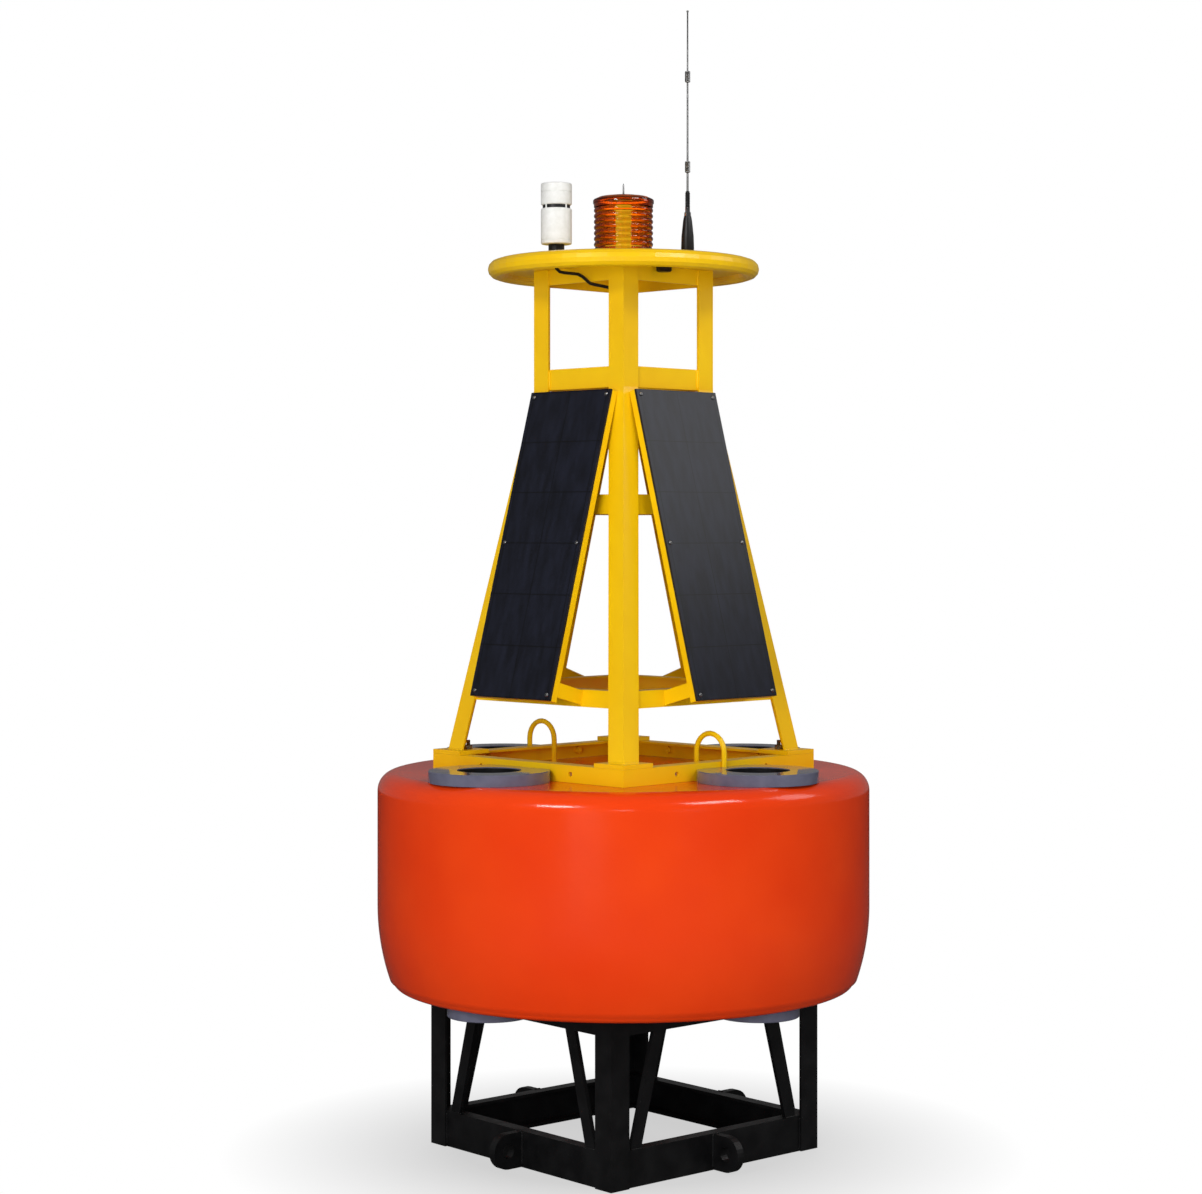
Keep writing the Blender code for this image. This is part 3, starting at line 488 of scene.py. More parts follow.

# %% [markdown]
# ## From a bmesh to a piece
#
# Every piece ends the same way. Its bmesh becomes an object, its faces are shaded
# smooth except over sharp edges, it gets its finish, and it rides on the buoy's one
# body. A piece that draws a solid again hides that solid. The buoy has four like
# sides and four like corners, so their names are kept in lists in the order of their
# angles.


# %% From a bmesh to a piece
def finish_piece(name, bm, finish, replaces=(), angle=35):
    """Make an object of a bmesh, shade it smooth up to an angle, and let it ride."""
    bmesh.ops.recalc_face_normals(bm, faces=bm.faces)
    mesh = bpy.data.meshes.new(name)
    bm.to_mesh(mesh)
    bm.free()
    mesh.shade_smooth()
    mesh.set_sharp_from_angle(angle=math.radians(angle))
    mesh.materials.append(materials[finish])
    piece = bpy.data.objects.new(name, mesh)
    bpy.context.scene.collection.objects.link(piece)
    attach(piece, "root")
    if replaces:
        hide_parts(*replaces)
    return piece


def spin(angle):
    """A turn about the buoy's axis."""
    return Matrix.Rotation(angle, 4, "Z")


SIDES = ("back_right", "back_left", "front_left", "front_right")
CORNERS = ("back", "left", "front", "right")
EIGHTH = math.radians(45)
QUARTER = math.radians(90)
print("sides:", len(SIDES), "corners:", len(CORNERS))

# %% [markdown]
# ## The float's skin
#
# A sprayed skin has no edges: the deck rolls over a wide shoulder into the side, and
# the side draws in below. The solid's profile is drawn again with many more steps, so
# that the outline and the highlights are smooth. The four bores are holes in the flat
# faces, joined by short walls.

# %% The float's skin
HULL_RADIUS = 0.5999
SHOULDER = 0.045
SWEEP_HEIGHT = 0.197
SWEEP_INSET = 0.036
BILGE = 0.018
RIM = 0.006
WELL_HOLE = 0.0823
hull_low, hull_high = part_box("foam_hull")
sweep_radius = (SWEEP_HEIGHT**2 + SWEEP_INSET**2) / (2 * SWEEP_INSET)
sweep_angle = math.asin((SWEEP_HEIGHT - BILGE) / sweep_radius)
sweep_centre = (HULL_RADIUS - sweep_radius, hull_low.z + SWEEP_HEIGHT)
bilge_centre = (HULL_RADIUS - SWEEP_INSET - BILGE, hull_low.z + BILGE)
shoulder_centre = (HULL_RADIUS - SHOULDER, hull_high.z - SHOULDER)


def well_place(k):
    """The axis of one of the four wells."""
    return spin(EIGHTH + QUARTER * k) @ Matrix.Translation((WELL_FROM_AXIS, 0, 0))


hull_side = [(bilge_centre[0] - RIM, hull_low.z)]
hull_side += arc(bilge_centre, BILGE, -QUARTER, -sweep_angle, 12)
hull_side += arc(sweep_centre, sweep_radius, -sweep_angle, 0, 20)
hull_side += arc(shoulder_centre, SHOULDER, 0, QUARTER, 20)
hull_side.append((shoulder_centre[0] - RIM, hull_high.z))
bm = bmesh.new()
rings = lathe(bm, hull_side, Matrix.Identity(4), 192)
bore_wall = [(WELL_HOLE, hull_low.z), (WELL_HOLE, hull_high.z)]
bores = [lathe(bm, bore_wall, well_place(k), 64) for k in range(4)]
fill_flat(bm, rings[0], [bore[0] for bore in bores])
fill_flat(bm, rings[-1], [bore[-1] for bore in bores])
merge_doubles(bm)
print("skin faces:", len(bm.faces))
finish_piece("hull_skin", bm, "hull_skin", ("foam_hull",), 40)

# %% [markdown]
# ## The wells
#
# Each well is a grey plastic pipe with a flange above and a collar below. The flange
# is cut straight where it meets the tower's base ring, and two of them are notched
# for the lifting eyes. Its faces are turned and then polished, so its top, seen at a
# low angle, mirrors the yellow bar beside it. A small chamfer on every edge catches
# the light.

# %% The wells
BORE = 0.075
PIPE = 0.082
FLANGE = 0.1425
COLLAR = 0.098
CHAMFER = 0.0018
MOUTH = 0.001  # the chamfer of the bore's two mouths
SEAT = 0.0003  # the play between two pieces that are bolted together
RING_HALF = 0.3295
BAR_CLEARANCE = 0.002
EYE_RADIUS = 0.0065
EYE_SIDES = ("back_left", "front_right")
BAR_SIDE = RING_HALF + BAR_CLEARANCE - WELL_FROM_AXIS
NOTCH_AT = RING_HALF + SEAT + EYE_RADIUS - WELL_FROM_AXIS
NOTCH = EYE_RADIUS + BAR_CLEARANCE
deck = hull_high.z + SEAT
under = hull_low.z - SEAT


def flange_outline(inset, notched):
    """The flange's outline: an arc, cut off by the base ring, with a notch if it has one."""
    radius = FLANGE - inset
    end = math.acos(BAR_SIDE / radius)
    outline = arc((0, 0), radius, -end, end, 110)
    if notched:
        turn = math.acos((BAR_SIDE - NOTCH_AT) / NOTCH)
        outline += arc((NOTCH_AT, 0), NOTCH, turn, -turn, 16)
    return outline


for k, side in enumerate(SIDES):
    node = "instrument_well_" + side
    low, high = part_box(node)
    at = well_place(k)
    bm = bmesh.new()
    inside = [(BORE + MOUTH, high.z), (BORE, high.z - MOUTH), (BORE, low.z + MOUTH)]
    inside += [(BORE + MOUTH, low.z), (COLLAR - CHAMFER, low.z), (COLLAR, low.z + CHAMFER)]
    inside += [(COLLAR, under), (PIPE, under), (PIPE, deck)]
    rings = lathe(bm, inside, at, 96)
    loops = []
    for inset, z in ((0.0, deck), (0.0, high.z - CHAMFER), (CHAMFER, high.z)):
        outline = flange_outline(inset, side in EYE_SIDES)
        loops.append([bm.verts.new(at @ Vector((x, y, z))) for x, y in outline])
    for loop, following in zip(loops, loops[1:]):
        join_loops(bm, loop, following)
    fill_flat(bm, loops[0], [rings[-1]])
    fill_flat(bm, loops[-1], [rings[0]])
    finish_piece("well_" + side, bm, "well_grey", (node,), 30)
print("wells:", len(SIDES))

# %% [markdown]
# ## Painted shade in the bores
#
# The bores look black from outside, where their walls lie in shade. A thin black
# sheet inside each pipe, with a rounded lip just under the flange's top, paints that
# shade as a dark slit.

# %% Painted shade in the bores
SHADE_SHEET = BORE - 0.0015
LIP_RADIUS = 0.0007
LIP_CENTRE = BORE - 0.0008
SHADE_SHEET_OUTSIDE = BORE - 0.0001
for k, side in enumerate(SIDES):
    low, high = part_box("instrument_well_" + side)
    bm = bmesh.new()
    wall = arc((LIP_CENTRE, high.z - 0.0030), LIP_RADIUS, math.pi, QUARTER, 6)
    wall += [(SHADE_SHEET_OUTSIDE, low.z + 0.004), (SHADE_SHEET, low.z + 0.003), (SHADE_SHEET, high.z - 0.006)]
    rings = lathe(bm, wall, well_place(k), 96)
    join_loops(bm, rings[-1], rings[0])
    # a black sheet in the bore: painted shade of the bore's walls
    finish_piece("bore_shade_sheet_" + side, bm, "plastic_black")
print("linings:", len(SIDES))

# %% [markdown]
# ## Bolts on the foot plates
#
# Each foot of the tower is a square plate with one zinc plated bolt behind the leg.
# A bolt is three turned and extruded shapes: a washer, a hexagon nut with its
# corners bevelled, and the end of the threaded stud, whose ridges are a zigzag
# profile.

# %% Bolts on the foot plates
WASHER = [(0, 0), (0.0105, 0), (0.0105, 0.0016), (0.0100, 0.0020), (0, 0.0020)]
WASHER_TOP = 0.0020
NUT_TOP = 0.0100
NUT_ACROSS = 0.017
NUT_CHAMFER = 0.0008
STUD_RADIUS = 0.005
STUD_POINT = 0.001
THREAD_FROM = 0.009
THREAD_PITCH = 0.0015
THREAD_DEPTH = 0.0007
BOLT_FROM_AXIS = 0.380
FOOT_STUD = 0.022
HEXAGON = [(math.cos(math.tau * i / 6), math.sin(math.tau * i / 6)) for i in range(6)]
plate_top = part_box("foot_plate_front")[1].z


def add_bolt(bm, at, stand):
    """A washer, a nut and a stud's end that stands up to a height on a plate."""
    turned(bm, WASHER, at)
    nut = [(x * NUT_ACROSS / math.sqrt(3), y * NUT_ACROSS / math.sqrt(3)) for x, y in HEXAGON]
    prism(bm, nut, WASHER_TOP, NUT_TOP, at, NUT_CHAMFER)
    thread = [(0, THREAD_FROM)]
    z = THREAD_FROM
    while z < stand - THREAD_PITCH:
        thread += [(STUD_RADIUS, z), (STUD_RADIUS - THREAD_DEPTH, z + THREAD_PITCH / 2)]
        z += THREAD_PITCH
    thread += [(STUD_RADIUS, z), (STUD_RADIUS - STUD_POINT, stand), (0, stand)]
    turned(bm, thread, at, 20)


for k, corner in enumerate(CORNERS):
    bm = bmesh.new()
    at = spin(QUARTER * (k + 1)) @ Matrix.Translation((BOLT_FROM_AXIS, 0, plate_top))
    add_bolt(bm, at, FOOT_STUD)
    finish_piece("foot_bolt_" + corner, bm, "zinc")
print("foot bolts:", len(CORNERS))

# %% [markdown]
# ## Bolts in the base ring
#
# The far bars of the base ring show no open holes, so their holes are closed by
# bolts that were coated with the tower. A matrix that lays the bolt's axis along X
# puts the nut outside the bar and the head inside.

# %% Bolts in the base ring
RING_WALL = 0.006
HOLE_ALONG = 0.1545
RING_STUD = 0.014
BOLT_HEAD = [(0, -0.004), (0.0085, -0.004), (0.0095, -0.0003), (0.0055, 0)]
BOLT_HEAD += [(0.0055, RING_WALL), (0, RING_WALL)]
ring_low, ring_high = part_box("base_ring")
across_bar = Matrix.Rotation(-QUARTER, 4, "Y")
for k, side in enumerate(SIDES[:2]):
    bm = bmesh.new()
    for y in (-HOLE_ALONG, HOLE_ALONG):
        spot = Matrix.Translation((RING_HALF, y, (ring_low.z + ring_high.z) / 2))
        at = spin(EIGHTH + QUARTER * k) @ spot @ across_bar
        add_bolt(bm, at @ Matrix.Translation((0, 0, RING_WALL)), RING_STUD)
        turned(bm, BOLT_HEAD, at)
    finish_piece("ring_bolts_" + side, bm, "tower_yellow")
print("ring bolts: 4")

# %% [markdown]
# ## Screws on the panels
#
# Six small screws hold each panel: one near every corner and one at the middle of
# each long edge. They have domed heads with a hexagon socket. A matrix whose Z axis
# is the panel's face direction puts them on the slope.

# %% Screws on the panels
PANEL_WIDTH = 0.275
PANEL_LENGTH = 0.756
SCREW_INSET = 0.013
SCREW_HEAD = [(0, -0.002), (0.0052, -0.002), (0.0052, 0.0004), (0.0046, 0.0018)]
SCREW_HEAD += [(0.0034, 0.0027), (0.0021, 0.0030), (0.0017, 0.0030), (0.0016, 0.0008)]
SCREW_HEAD.append((0, 0.0008))
slope = Vector((-math.sin(PANEL_LEAN), 0, math.cos(PANEL_LEAN)))
face_out = Vector((math.cos(PANEL_LEAN), 0, math.sin(PANEL_LEAN)))
panel_points = [v.co for v in nodes["solar_panel_front_right"].data.vertices]
outer_reach = max(p.x - p.y for p in panel_points)
face_foot = min(p.z for p in panel_points if p.x - p.y > outer_reach - 0.001)
panel_plane = Matrix((slope.cross(face_out), slope, face_out)).transposed().to_4x4()
panel_plane.translation = (outer_reach / math.sqrt(2), 0, face_foot)
for k, side in enumerate(SIDES):
    bm = bmesh.new()
    for x in (-1, 1):
        for y in (SCREW_INSET, PANEL_LENGTH / 2, PANEL_LENGTH - SCREW_INSET):
            spot = Matrix.Translation((x * (PANEL_WIDTH / 2 - SCREW_INSET), y, 0))
            turned(bm, SCREW_HEAD, spin(EIGHTH + QUARTER * k) @ panel_plane @ spot, 20)
    finish_piece("panel_screws_" + side, bm, "rod_steel")
print("panel screws: 24")

# %% [markdown]
# ## Weld beads of the tower
#
# The bars of the tower are joined by short fillet welds. A weld is a row of
# overlapping scales, each left by one puddle of metal. A tube whose radius swells
# and shrinks every few millimetres, with a little chance in it, looks like that.

# %% Weld beads of the tower
SCALE_PITCH = 0.0034
STEPS_PER_SCALE = 3
SWELL = 0.16
CHANCE = 0.04


def add_bead(bm, start, end, radius, turn):
    """A weld between two points of the untwisted square, then turned in place."""
    start = Vector(start)
    end = Vector(end)
    steps = max(4, round((end - start).length / (SCALE_PITCH / STEPS_PER_SCALE)))
    path = []
    radii = []
    for i in range(steps + 1):
        path.append(turn @ start.lerp(end, i / steps))
        swell = abs(math.sin(math.pi * i / STEPS_PER_SCALE + 0.4))
        taper = min(1.0, (i + 1) / 3, (steps - i + 1) / 3)
        uneven = 1 - SWELL + SWELL * swell + random.uniform(-CHANCE, CHANCE)
        radii.append(radius * taper * uneven)
    swept(bm, path, radii, 7)


FOOT_HALF = 0.303
CAGE_HALF = 0.155
LEG_WIDTH = 0.050
LEG_WALL = 0.005
WELDED_RINGS = ("tower_mid_ring", "tower_cage_ring", "tower_top_ring", "outrigger_ring")
OUTRIGGER_RING_HEIGHT = 0.040
END_GAP = 0.003
ROOT = 0.0005  # how far a bead's axis stands off the edge that it fills
RING_BEAD = 0.0028
TOE_BEAD = 0.0032
INNER_BEAD = 0.003
leg_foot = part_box("tower_leg_front")[0].z
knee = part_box("tower_cage_ring")[0].z


def leg_half(z):
    """Half the tower's side at a height."""
    share = min(1.0, (z - leg_foot) / (knee - leg_foot))
    return FOOT_HALF + (CAGE_HALF - FOOT_HALF) * share


def ring_weld(z, swap):
    """A point of the seam between a ring and the edge of a leg's flange."""
    half = leg_half(z)
    x, y = half - LEG_WIDTH - ROOT, half - LEG_WALL + ROOT
    return (y, x, z) if swap else (x, y, z)


bm = bmesh.new()
beads = 0
for k in range(4):
    turn = spin(EIGHTH + QUARTER * k)
    for ring in WELDED_RINGS:
        low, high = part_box(ring)
        bar_foot = high.z - OUTRIGGER_RING_HEIGHT if ring == "outrigger_ring" else low.z
        for swap in (False, True):
            lower = ring_weld(bar_foot + END_GAP, swap)
            upper = ring_weld(high.z - END_GAP, swap)
            add_bead(bm, lower, upper, RING_BEAD, turn)
            beads += 1
    outer = leg_half(leg_foot)
    edge = outer - LEG_WIDTH
    inner = outer - LEG_WALL
    add_bead(bm, (outer, edge, leg_foot), (outer, outer, leg_foot), TOE_BEAD, turn)
    add_bead(bm, (outer, outer, leg_foot), (edge, outer, leg_foot), TOE_BEAD, turn)
    add_bead(bm, (inner, edge, leg_foot), (inner, inner, leg_foot), INNER_BEAD, turn)
    add_bead(bm, (inner, inner, leg_foot), (edge, inner, leg_foot), INNER_BEAD, turn)
    beads += 4
finish_piece("tower_welds", bm, "tower_yellow", angle=60)
print("tower welds:", beads)

# %% [markdown]
# ## Welds of the underframe
#
# The underframe is welded the same way: the corner posts to both rings, the braces
# to the lower ring, and the mooring lugs at their sides and tops. It stands turned
# by a few degrees against the tower, so its welds get that turn as well.

# %% Welds of the underframe
UNDERFRAME_TURN = math.radians(-3.4)
UNDERFRAME_HALF = 0.335
POST_LEG = 0.056
POST_WALL = 0.006
POST_GAP = 0.004
POST_BEAD = 0.0032
LUG_HALF = 0.010
LUG_SIDE_BEAD = 0.004
LUG_TOP_BEAD = 0.0032
UPPER_BAR_LEG = 0.050
BRACE_FOOT = 0.251
BRACE_HALF = 0.016
BRACE_BEAD = 0.0028
bar_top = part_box("underframe_lower_ring")[1].z
upper_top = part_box("underframe_upper_ring")[1].z
lug_low, lug_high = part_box("mooring_lug_front_left")
ring_face = UNDERFRAME_HALF - POST_WALL
post_edge = UNDERFRAME_HALF - POST_LEG
bar_heights = (
    (POST_GAP, bar_top - POST_GAP),
    (upper_top - UPPER_BAR_LEG + POST_GAP, upper_top - POST_GAP),
)
bm = bmesh.new()
beads = 0
for k in range(4):
    turn = spin(EIGHTH + UNDERFRAME_TURN + QUARTER * k)
    for z0, z1 in bar_heights:
        add_bead(bm, (post_edge, ring_face, z0), (post_edge, ring_face, z1), POST_BEAD, turn)
        add_bead(bm, (ring_face, post_edge, z0), (ring_face, post_edge, z1), POST_BEAD, turn)
        beads += 2
    for hand in (-1, 1):
        lug_foot = (ring_face, hand * LUG_HALF, lug_low.z + 0.005)
        add_bead(bm, lug_foot, (*lug_foot[:2], lug_high.z), LUG_SIDE_BEAD, turn)
        near = hand * (BRACE_FOOT - BRACE_HALF)
        far = hand * (BRACE_FOOT + BRACE_HALF)
        for y in (near, far):
            start = (ring_face - 0.014, y, bar_top)
            add_bead(bm, start, (ring_face - 0.004, y, bar_top), BRACE_BEAD, turn)
        front = ring_face - 0.0030
        add_bead(bm, (front, near, bar_top), (front, far, bar_top), BRACE_BEAD, turn)
        beads += 4
    lug_top = [(ring_face, y, lug_high.z) for y in (-LUG_HALF, LUG_HALF)]
    add_bead(bm, *lug_top, LUG_TOP_BEAD, turn)
    beads += 1
finish_piece("underframe_welds", bm, "frame_black", angle=60)
print("underframe welds:", beads)

# %% [markdown]
# ## The lantern's lens
#
# A marine lantern is a ribbed amber drum with its lamp on a column inside. The ribs
# are lens bands: rounded outside, flat inside. Built as a shell with a real wall, the
# drum bends the view of what is behind it, and the lamp column shows in its middle.

# %% The lantern's lens
LENS_RADIUS = 0.0725
LENS_WALL = 0.0040
RIB_DEPTH = 0.0034
RIBS = 9
RIB_STEPS = 8
RIB_GAP = 0.06  # the share of a rib's pitch that stays free at either end
ROUNDNESS = 0.8
FOOT_BAND = 0.010
BAND_STEP = 0.001
lens_low, lens_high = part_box("lantern_lens")
outside = [(LENS_RADIUS, lens_low.z), (LENS_RADIUS, lens_low.z + FOOT_BAND - BAND_STEP)]
rib_pitch = (lens_high.z - lens_low.z - 2 * FOOT_BAND) / RIBS
for i in range(RIBS):
    rib_foot = lens_low.z + FOOT_BAND + i * rib_pitch
    for j in range(RIB_STEPS + 1):
        bulge = math.sin(math.pi * j / RIB_STEPS) ** ROUNDNESS
        z = rib_foot + rib_pitch * (RIB_GAP + (1 - 2 * RIB_GAP) * j / RIB_STEPS)
        outside.append((LENS_RADIUS - RIB_DEPTH * (1 - bulge), z))
outside += [(LENS_RADIUS, lens_high.z - FOOT_BAND + BAND_STEP), (LENS_RADIUS, lens_high.z)]
lens_inside = LENS_RADIUS - RIB_DEPTH - LENS_WALL
shell = outside + [(lens_inside, lens_high.z), (lens_inside, lens_low.z)]
shell.append((LENS_RADIUS, lens_low.z))
bm = bmesh.new()
turned(bm, shell, segments=96)
merge_doubles(bm)
finish_piece("lantern_lens_shell", bm, "lens_amber", ("lantern_lens",), 40)
print("lens ribs:", RIBS)

# %% [markdown]
# ## The lantern's cap
#
# A shallow amber dome closes the drum, moulded with an even wall. A thin steel spike
# stands on it and keeps birds off the lamp.

# %% The lantern's cap
cap_low, cap_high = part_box("lantern_cap")
dome = [(lens_inside, 0), (0.0745, 0), (0.0745, 0.007), (0.0728, 0.0095), (0.060, 0.0155)]
dome += [(0.040, 0.0185), (0.016, 0.0198), (0, 0.020), (0, 0.0165), (0.030, 0.0155)]
dome += [(0.056, 0.0118), (lens_inside, 0.006), (lens_inside, 0)]
bm = bmesh.new()
turned(bm, raised(dome, cap_low.z), segments=96)
merge_doubles(bm)
finish_piece("lantern_dome", bm, "lens_amber", ("lantern_cap",), 40)

spike_foot = [(0, 0), (0.005, 0), (0.005, 0.003), (0.0022, 0.0045)]
spike_tip = [(0.0020, -0.006), (0.0004, -0.0004), (0, -0.0004)]
spike = raised(spike_foot, cap_low.z + 0.0195) + raised(spike_tip, cap_high.z)
bm = bmesh.new()
turned(bm, spike, segments=20)
finish_piece("lantern_spike", bm, "rod_steel")
print("cap pieces: 2")

# %% [markdown]
# ## The lantern's foot and lamp
#
# The drum stands on a black foot. Inside it, a white column on a round socket carries
# four rows of twelve small domed lamps that shine to all sides.

# %% The lantern's foot and lamp
LED_ROWS = 4
LEDS_ROUND = 12
LED = [(0, 0), (0.0024, 0), (0.0021, 0.0012), (0.0012, 0.0019), (0, 0.0022)]
LED_FROM_AXIS = 0.0188
LOWEST_ROW = 0.030
ROW_PITCH = 0.020
base_low, base_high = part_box("lantern_base")
foot = [(0, 0), (0.0715, 0), (0.0715, 0.004), (0.0660, 0.006)]
foot = raised(foot, base_low.z) + [(0.0660, base_high.z), (0, base_high.z)]
bm = bmesh.new()
turned(bm, foot, segments=72)
finish_piece("lantern_foot", bm, "plastic_black", ("lantern_base",))

lamp_low = base_high.z + SEAT
lamp_high = lens_high.z - 0.004
socket = [(0, 0), (0.050, 0), (0.050, 0.012), (0.019, 0.016)]
crown = [(0.019, -0.016), (0.023, -0.012), (0.023, -0.004), (0.014, 0), (0, 0)]
bm = bmesh.new()
turned(bm, raised(socket, lamp_low) + raised(crown, lamp_high), segments=48)
for row in range(LED_ROWS):
    for i in range(LEDS_ROUND):
        spot = (LED_FROM_AXIS, 0, lamp_low + LOWEST_ROW + ROW_PITCH * row)
        at = spin(math.tau * i / LEDS_ROUND) @ Matrix.Translation(spot)
        turned(bm, LED, at @ Matrix.Rotation(QUARTER, 4, "Y"), 10)
finish_piece("lantern_lamp", bm, "pearl")
print("lamps on the column:", LED_ROWS * LEDS_ROUND)

# %% [markdown]
# ## The weather sensor
#
# The white sensor measures wind in the gap between its two drums. Moulded drums
# have rounded edges and a seam; four thin posts carry the upper one, and small dark
# discs that send and catch the sound sit in the gap. A black core almost as wide as
# the drums fills the gap: painted shade under the upper drum.

# %% The weather sensor
DRUM = 0.037
DRUM_EDGE = 0.004
SEAM_DEPTH = 0.0014
SEAM = [(DRUM, -0.0008), (DRUM - SEAM_DEPTH, -0.0006)]
SEAM += [(DRUM - SEAM_DEPTH, 0.0006), (DRUM, 0.0008)]
POST = [(0, -0.002), (0.0024, -0.002), (0.0018, 0.002)]
POST += [(0.0018, 0.006), (0.0024, 0.010), (0, 0.010)]
POST_CIRCLE = 0.0335
EAR = [(0, -0.0022), (0.0055, -0.0018), (0.0062, 0.001), (0, 0.001)]
EAR_CIRCLE = 0.022
sensor_low, sensor_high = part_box("weather_sensor")
centre = (sensor_low + sensor_high) / 2
sensor_at = Matrix.Translation((centre.x, centre.y, 0))
waist = sensor_low.z + 0.0855
head_low = waist + 0.008


def drum_profile(low, high, seam):
    """A drum with rounded edges and a narrow groove at a height."""
    flat = DRUM - DRUM_EDGE
    lower = arc((flat, low + DRUM_EDGE), DRUM_EDGE, -QUARTER, 0, 5)
    upper = arc((flat, high - DRUM_EDGE), DRUM_EDGE, 0, QUARTER, 5)
    return [(0, low), *lower, *raised(SEAM, seam), *upper, (0, high)]


def round_sensor(radius, share, z):
    """A place on a circle about the sensor's axis, at a share of a turn."""
    angle = math.tau * share
    return sensor_at @ Matrix.Translation((radius * math.cos(angle), radius * math.sin(angle), z))


bm = bmesh.new()
turned(bm, drum_profile(sensor_low.z, waist, sensor_low.z + 0.010), sensor_at, 64)
turned(bm, drum_profile(head_low, sensor_high.z, head_low + 0.031), sensor_at, 64)
for i in range(4):
    turned(bm, POST, round_sensor(POST_CIRCLE, (i + 0.5) / 4, waist), 16)
finish_piece("sensor_drums", bm, "plastic_white", ("weather_sensor",))
bm = bmesh.new()
for i in range(4):
    turned(bm, EAR, round_sensor(EAR_CIRCLE, i / 4, head_low), 20)
# a black core in the gap: painted shade under the upper drum
gap_shade_core = [(0, waist - 0.001), (0.0330, waist - 0.001), (0.0325, head_low), (0, head_low)]
turned(bm, gap_shade_core, sensor_at, 48)
finish_piece("sensor_ears_and_gap_shade", bm, "plastic_black")
print("sensor pieces: 2")

# %% [markdown]
# ## The whip's rod
#
# The whip is a thin steel rod with two loading coils. Each coil is a spring between
# two ferrules. Sweeping a small circle along a helix gives the springs.

# %% The whip's rod
COIL_LENGTH = 0.028
COIL_TURNS = 7
STEPS_PER_TURN = 20
COIL_RADIUS = 0.0058
WIRE_RADIUS = 0.0011
COIL_INSET = 0.003
JOINT = 0.013
FERRULE_HEIGHT = 0.004
FERRULE = [(0, 0), (0.0040, 0), (0.0062, 0.001), (0.0062, 0.003)]
FERRULE += [(0.0040, FERRULE_HEIGHT), (0, FERRULE_HEIGHT)]
whip_low, whip_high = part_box("antenna_rod")
whip_at = Matrix.Translation(((whip_low.x + whip_high.x) / 2, 0, 0))
lower_coil, upper_coil = whip_low.z + 0.059, whip_high.z - 0.163
rod = [(0, whip_low.z), (0.0028, whip_low.z), (0.0026, lower_coil - JOINT)]
rod += [(0.0024, lower_coil + JOINT), (0.0022, upper_coil - JOINT)]
rod += [(0.0020, upper_coil + JOINT)]
rod += raised([(0.0018, -0.006), (0.0027, -0.004), (0.0027, -0.001), (0, 0)], whip_high.z)
bm = bmesh.new()
turned(bm, rod, whip_at, 20)
for centre in (lower_coil, upper_coil):
    path = []
    steps = COIL_TURNS * STEPS_PER_TURN
    for i in range(steps + 1):
        angle = math.tau * i / STEPS_PER_TURN
        x, y = COIL_RADIUS * math.cos(angle), COIL_RADIUS * math.sin(angle)
        rise = (COIL_LENGTH - 2 * COIL_INSET) * i / steps
        z = centre - COIL_LENGTH / 2 + COIL_INSET + rise
        path.append(whip_at @ Vector((x, y, z)))
    swept(bm, path, [WIRE_RADIUS] * len(path), 8)
    for z in (centre - COIL_LENGTH / 2, centre + COIL_LENGTH / 2 - FERRULE_HEIGHT):
        turned(bm, raised(FERRULE, z), whip_at, 24)
finish_piece("whip_rod", bm, "rod_steel", ("antenna_rod",))
print("whip coils: 2")

# %% [markdown]
# ## The whip's base
#
# The base is black plastic with grip ribs, a bright ferrule and a flexible neck with
# narrow rings. Each row of ribs is one short profile, repeated up the axis.

# %% The whip's base
GRIP_RIBS = 6
GRIP_PITCH = 0.005
GRIP = [(0.0168, 0), (0.0168, 0.003), (0.0156, 0.0035), (0.0156, 0.0045)]
NECK_RINGS = 9
NECK_PITCH = 0.004
NECK_RING = [(0.0059, 0), (0.0059, 0.0025), (0.0048, 0.003), (0.0048, 0.0035)]
mast_low, mast_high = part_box("antenna_base")
foot_z = mast_low.z
body = [(0, 0), (0.021, 0), (0.021, 0.008), (0.019, 0.010), (0.0165, 0.011), (0.0165, 0.014)]
for i in range(GRIP_RIBS):
    body += raised(GRIP, 0.016 + GRIP_PITCH * i)
body += [(0.0160, 0.050), (0.0150, 0.080), (0.0110, 0.118), (0.0088, 0.129), (0, 0.129)]
neck = [(0, 0.150), (0.0058, 0.150)]
for i in range(NECK_RINGS):
    neck += raised(NECK_RING, 0.151 + NECK_PITCH * i)
neck_top = mast_high.z - SEAT
bm = bmesh.new()
turned(bm, raised(body, foot_z), whip_at, 40)
turned(bm, raised(neck, foot_z) + [(0.0048, neck_top), (0, neck_top)], whip_at, 32)
finish_piece("whip_base", bm, "plastic_black", ("antenna_base",))
ferrule = [(0, 0.129), (0.0082, 0.129), (0.0082, 0.137), (0.0060, 0.140)]
ferrule += [(0.0060, 0.150), (0, 0.150)]
bm = bmesh.new()
turned(bm, raised(ferrule, foot_z), whip_at, 40)
finish_piece("whip_ferrule", bm, "chrome")
print("base pieces: 2")

# %% [markdown]
# ## Clips for the cable
#
# The sensor's cable runs down behind the front leg. At each ring a P-shaped clip
# holds it: a band round the cable with a tab that is screwed to the ring's shelf.

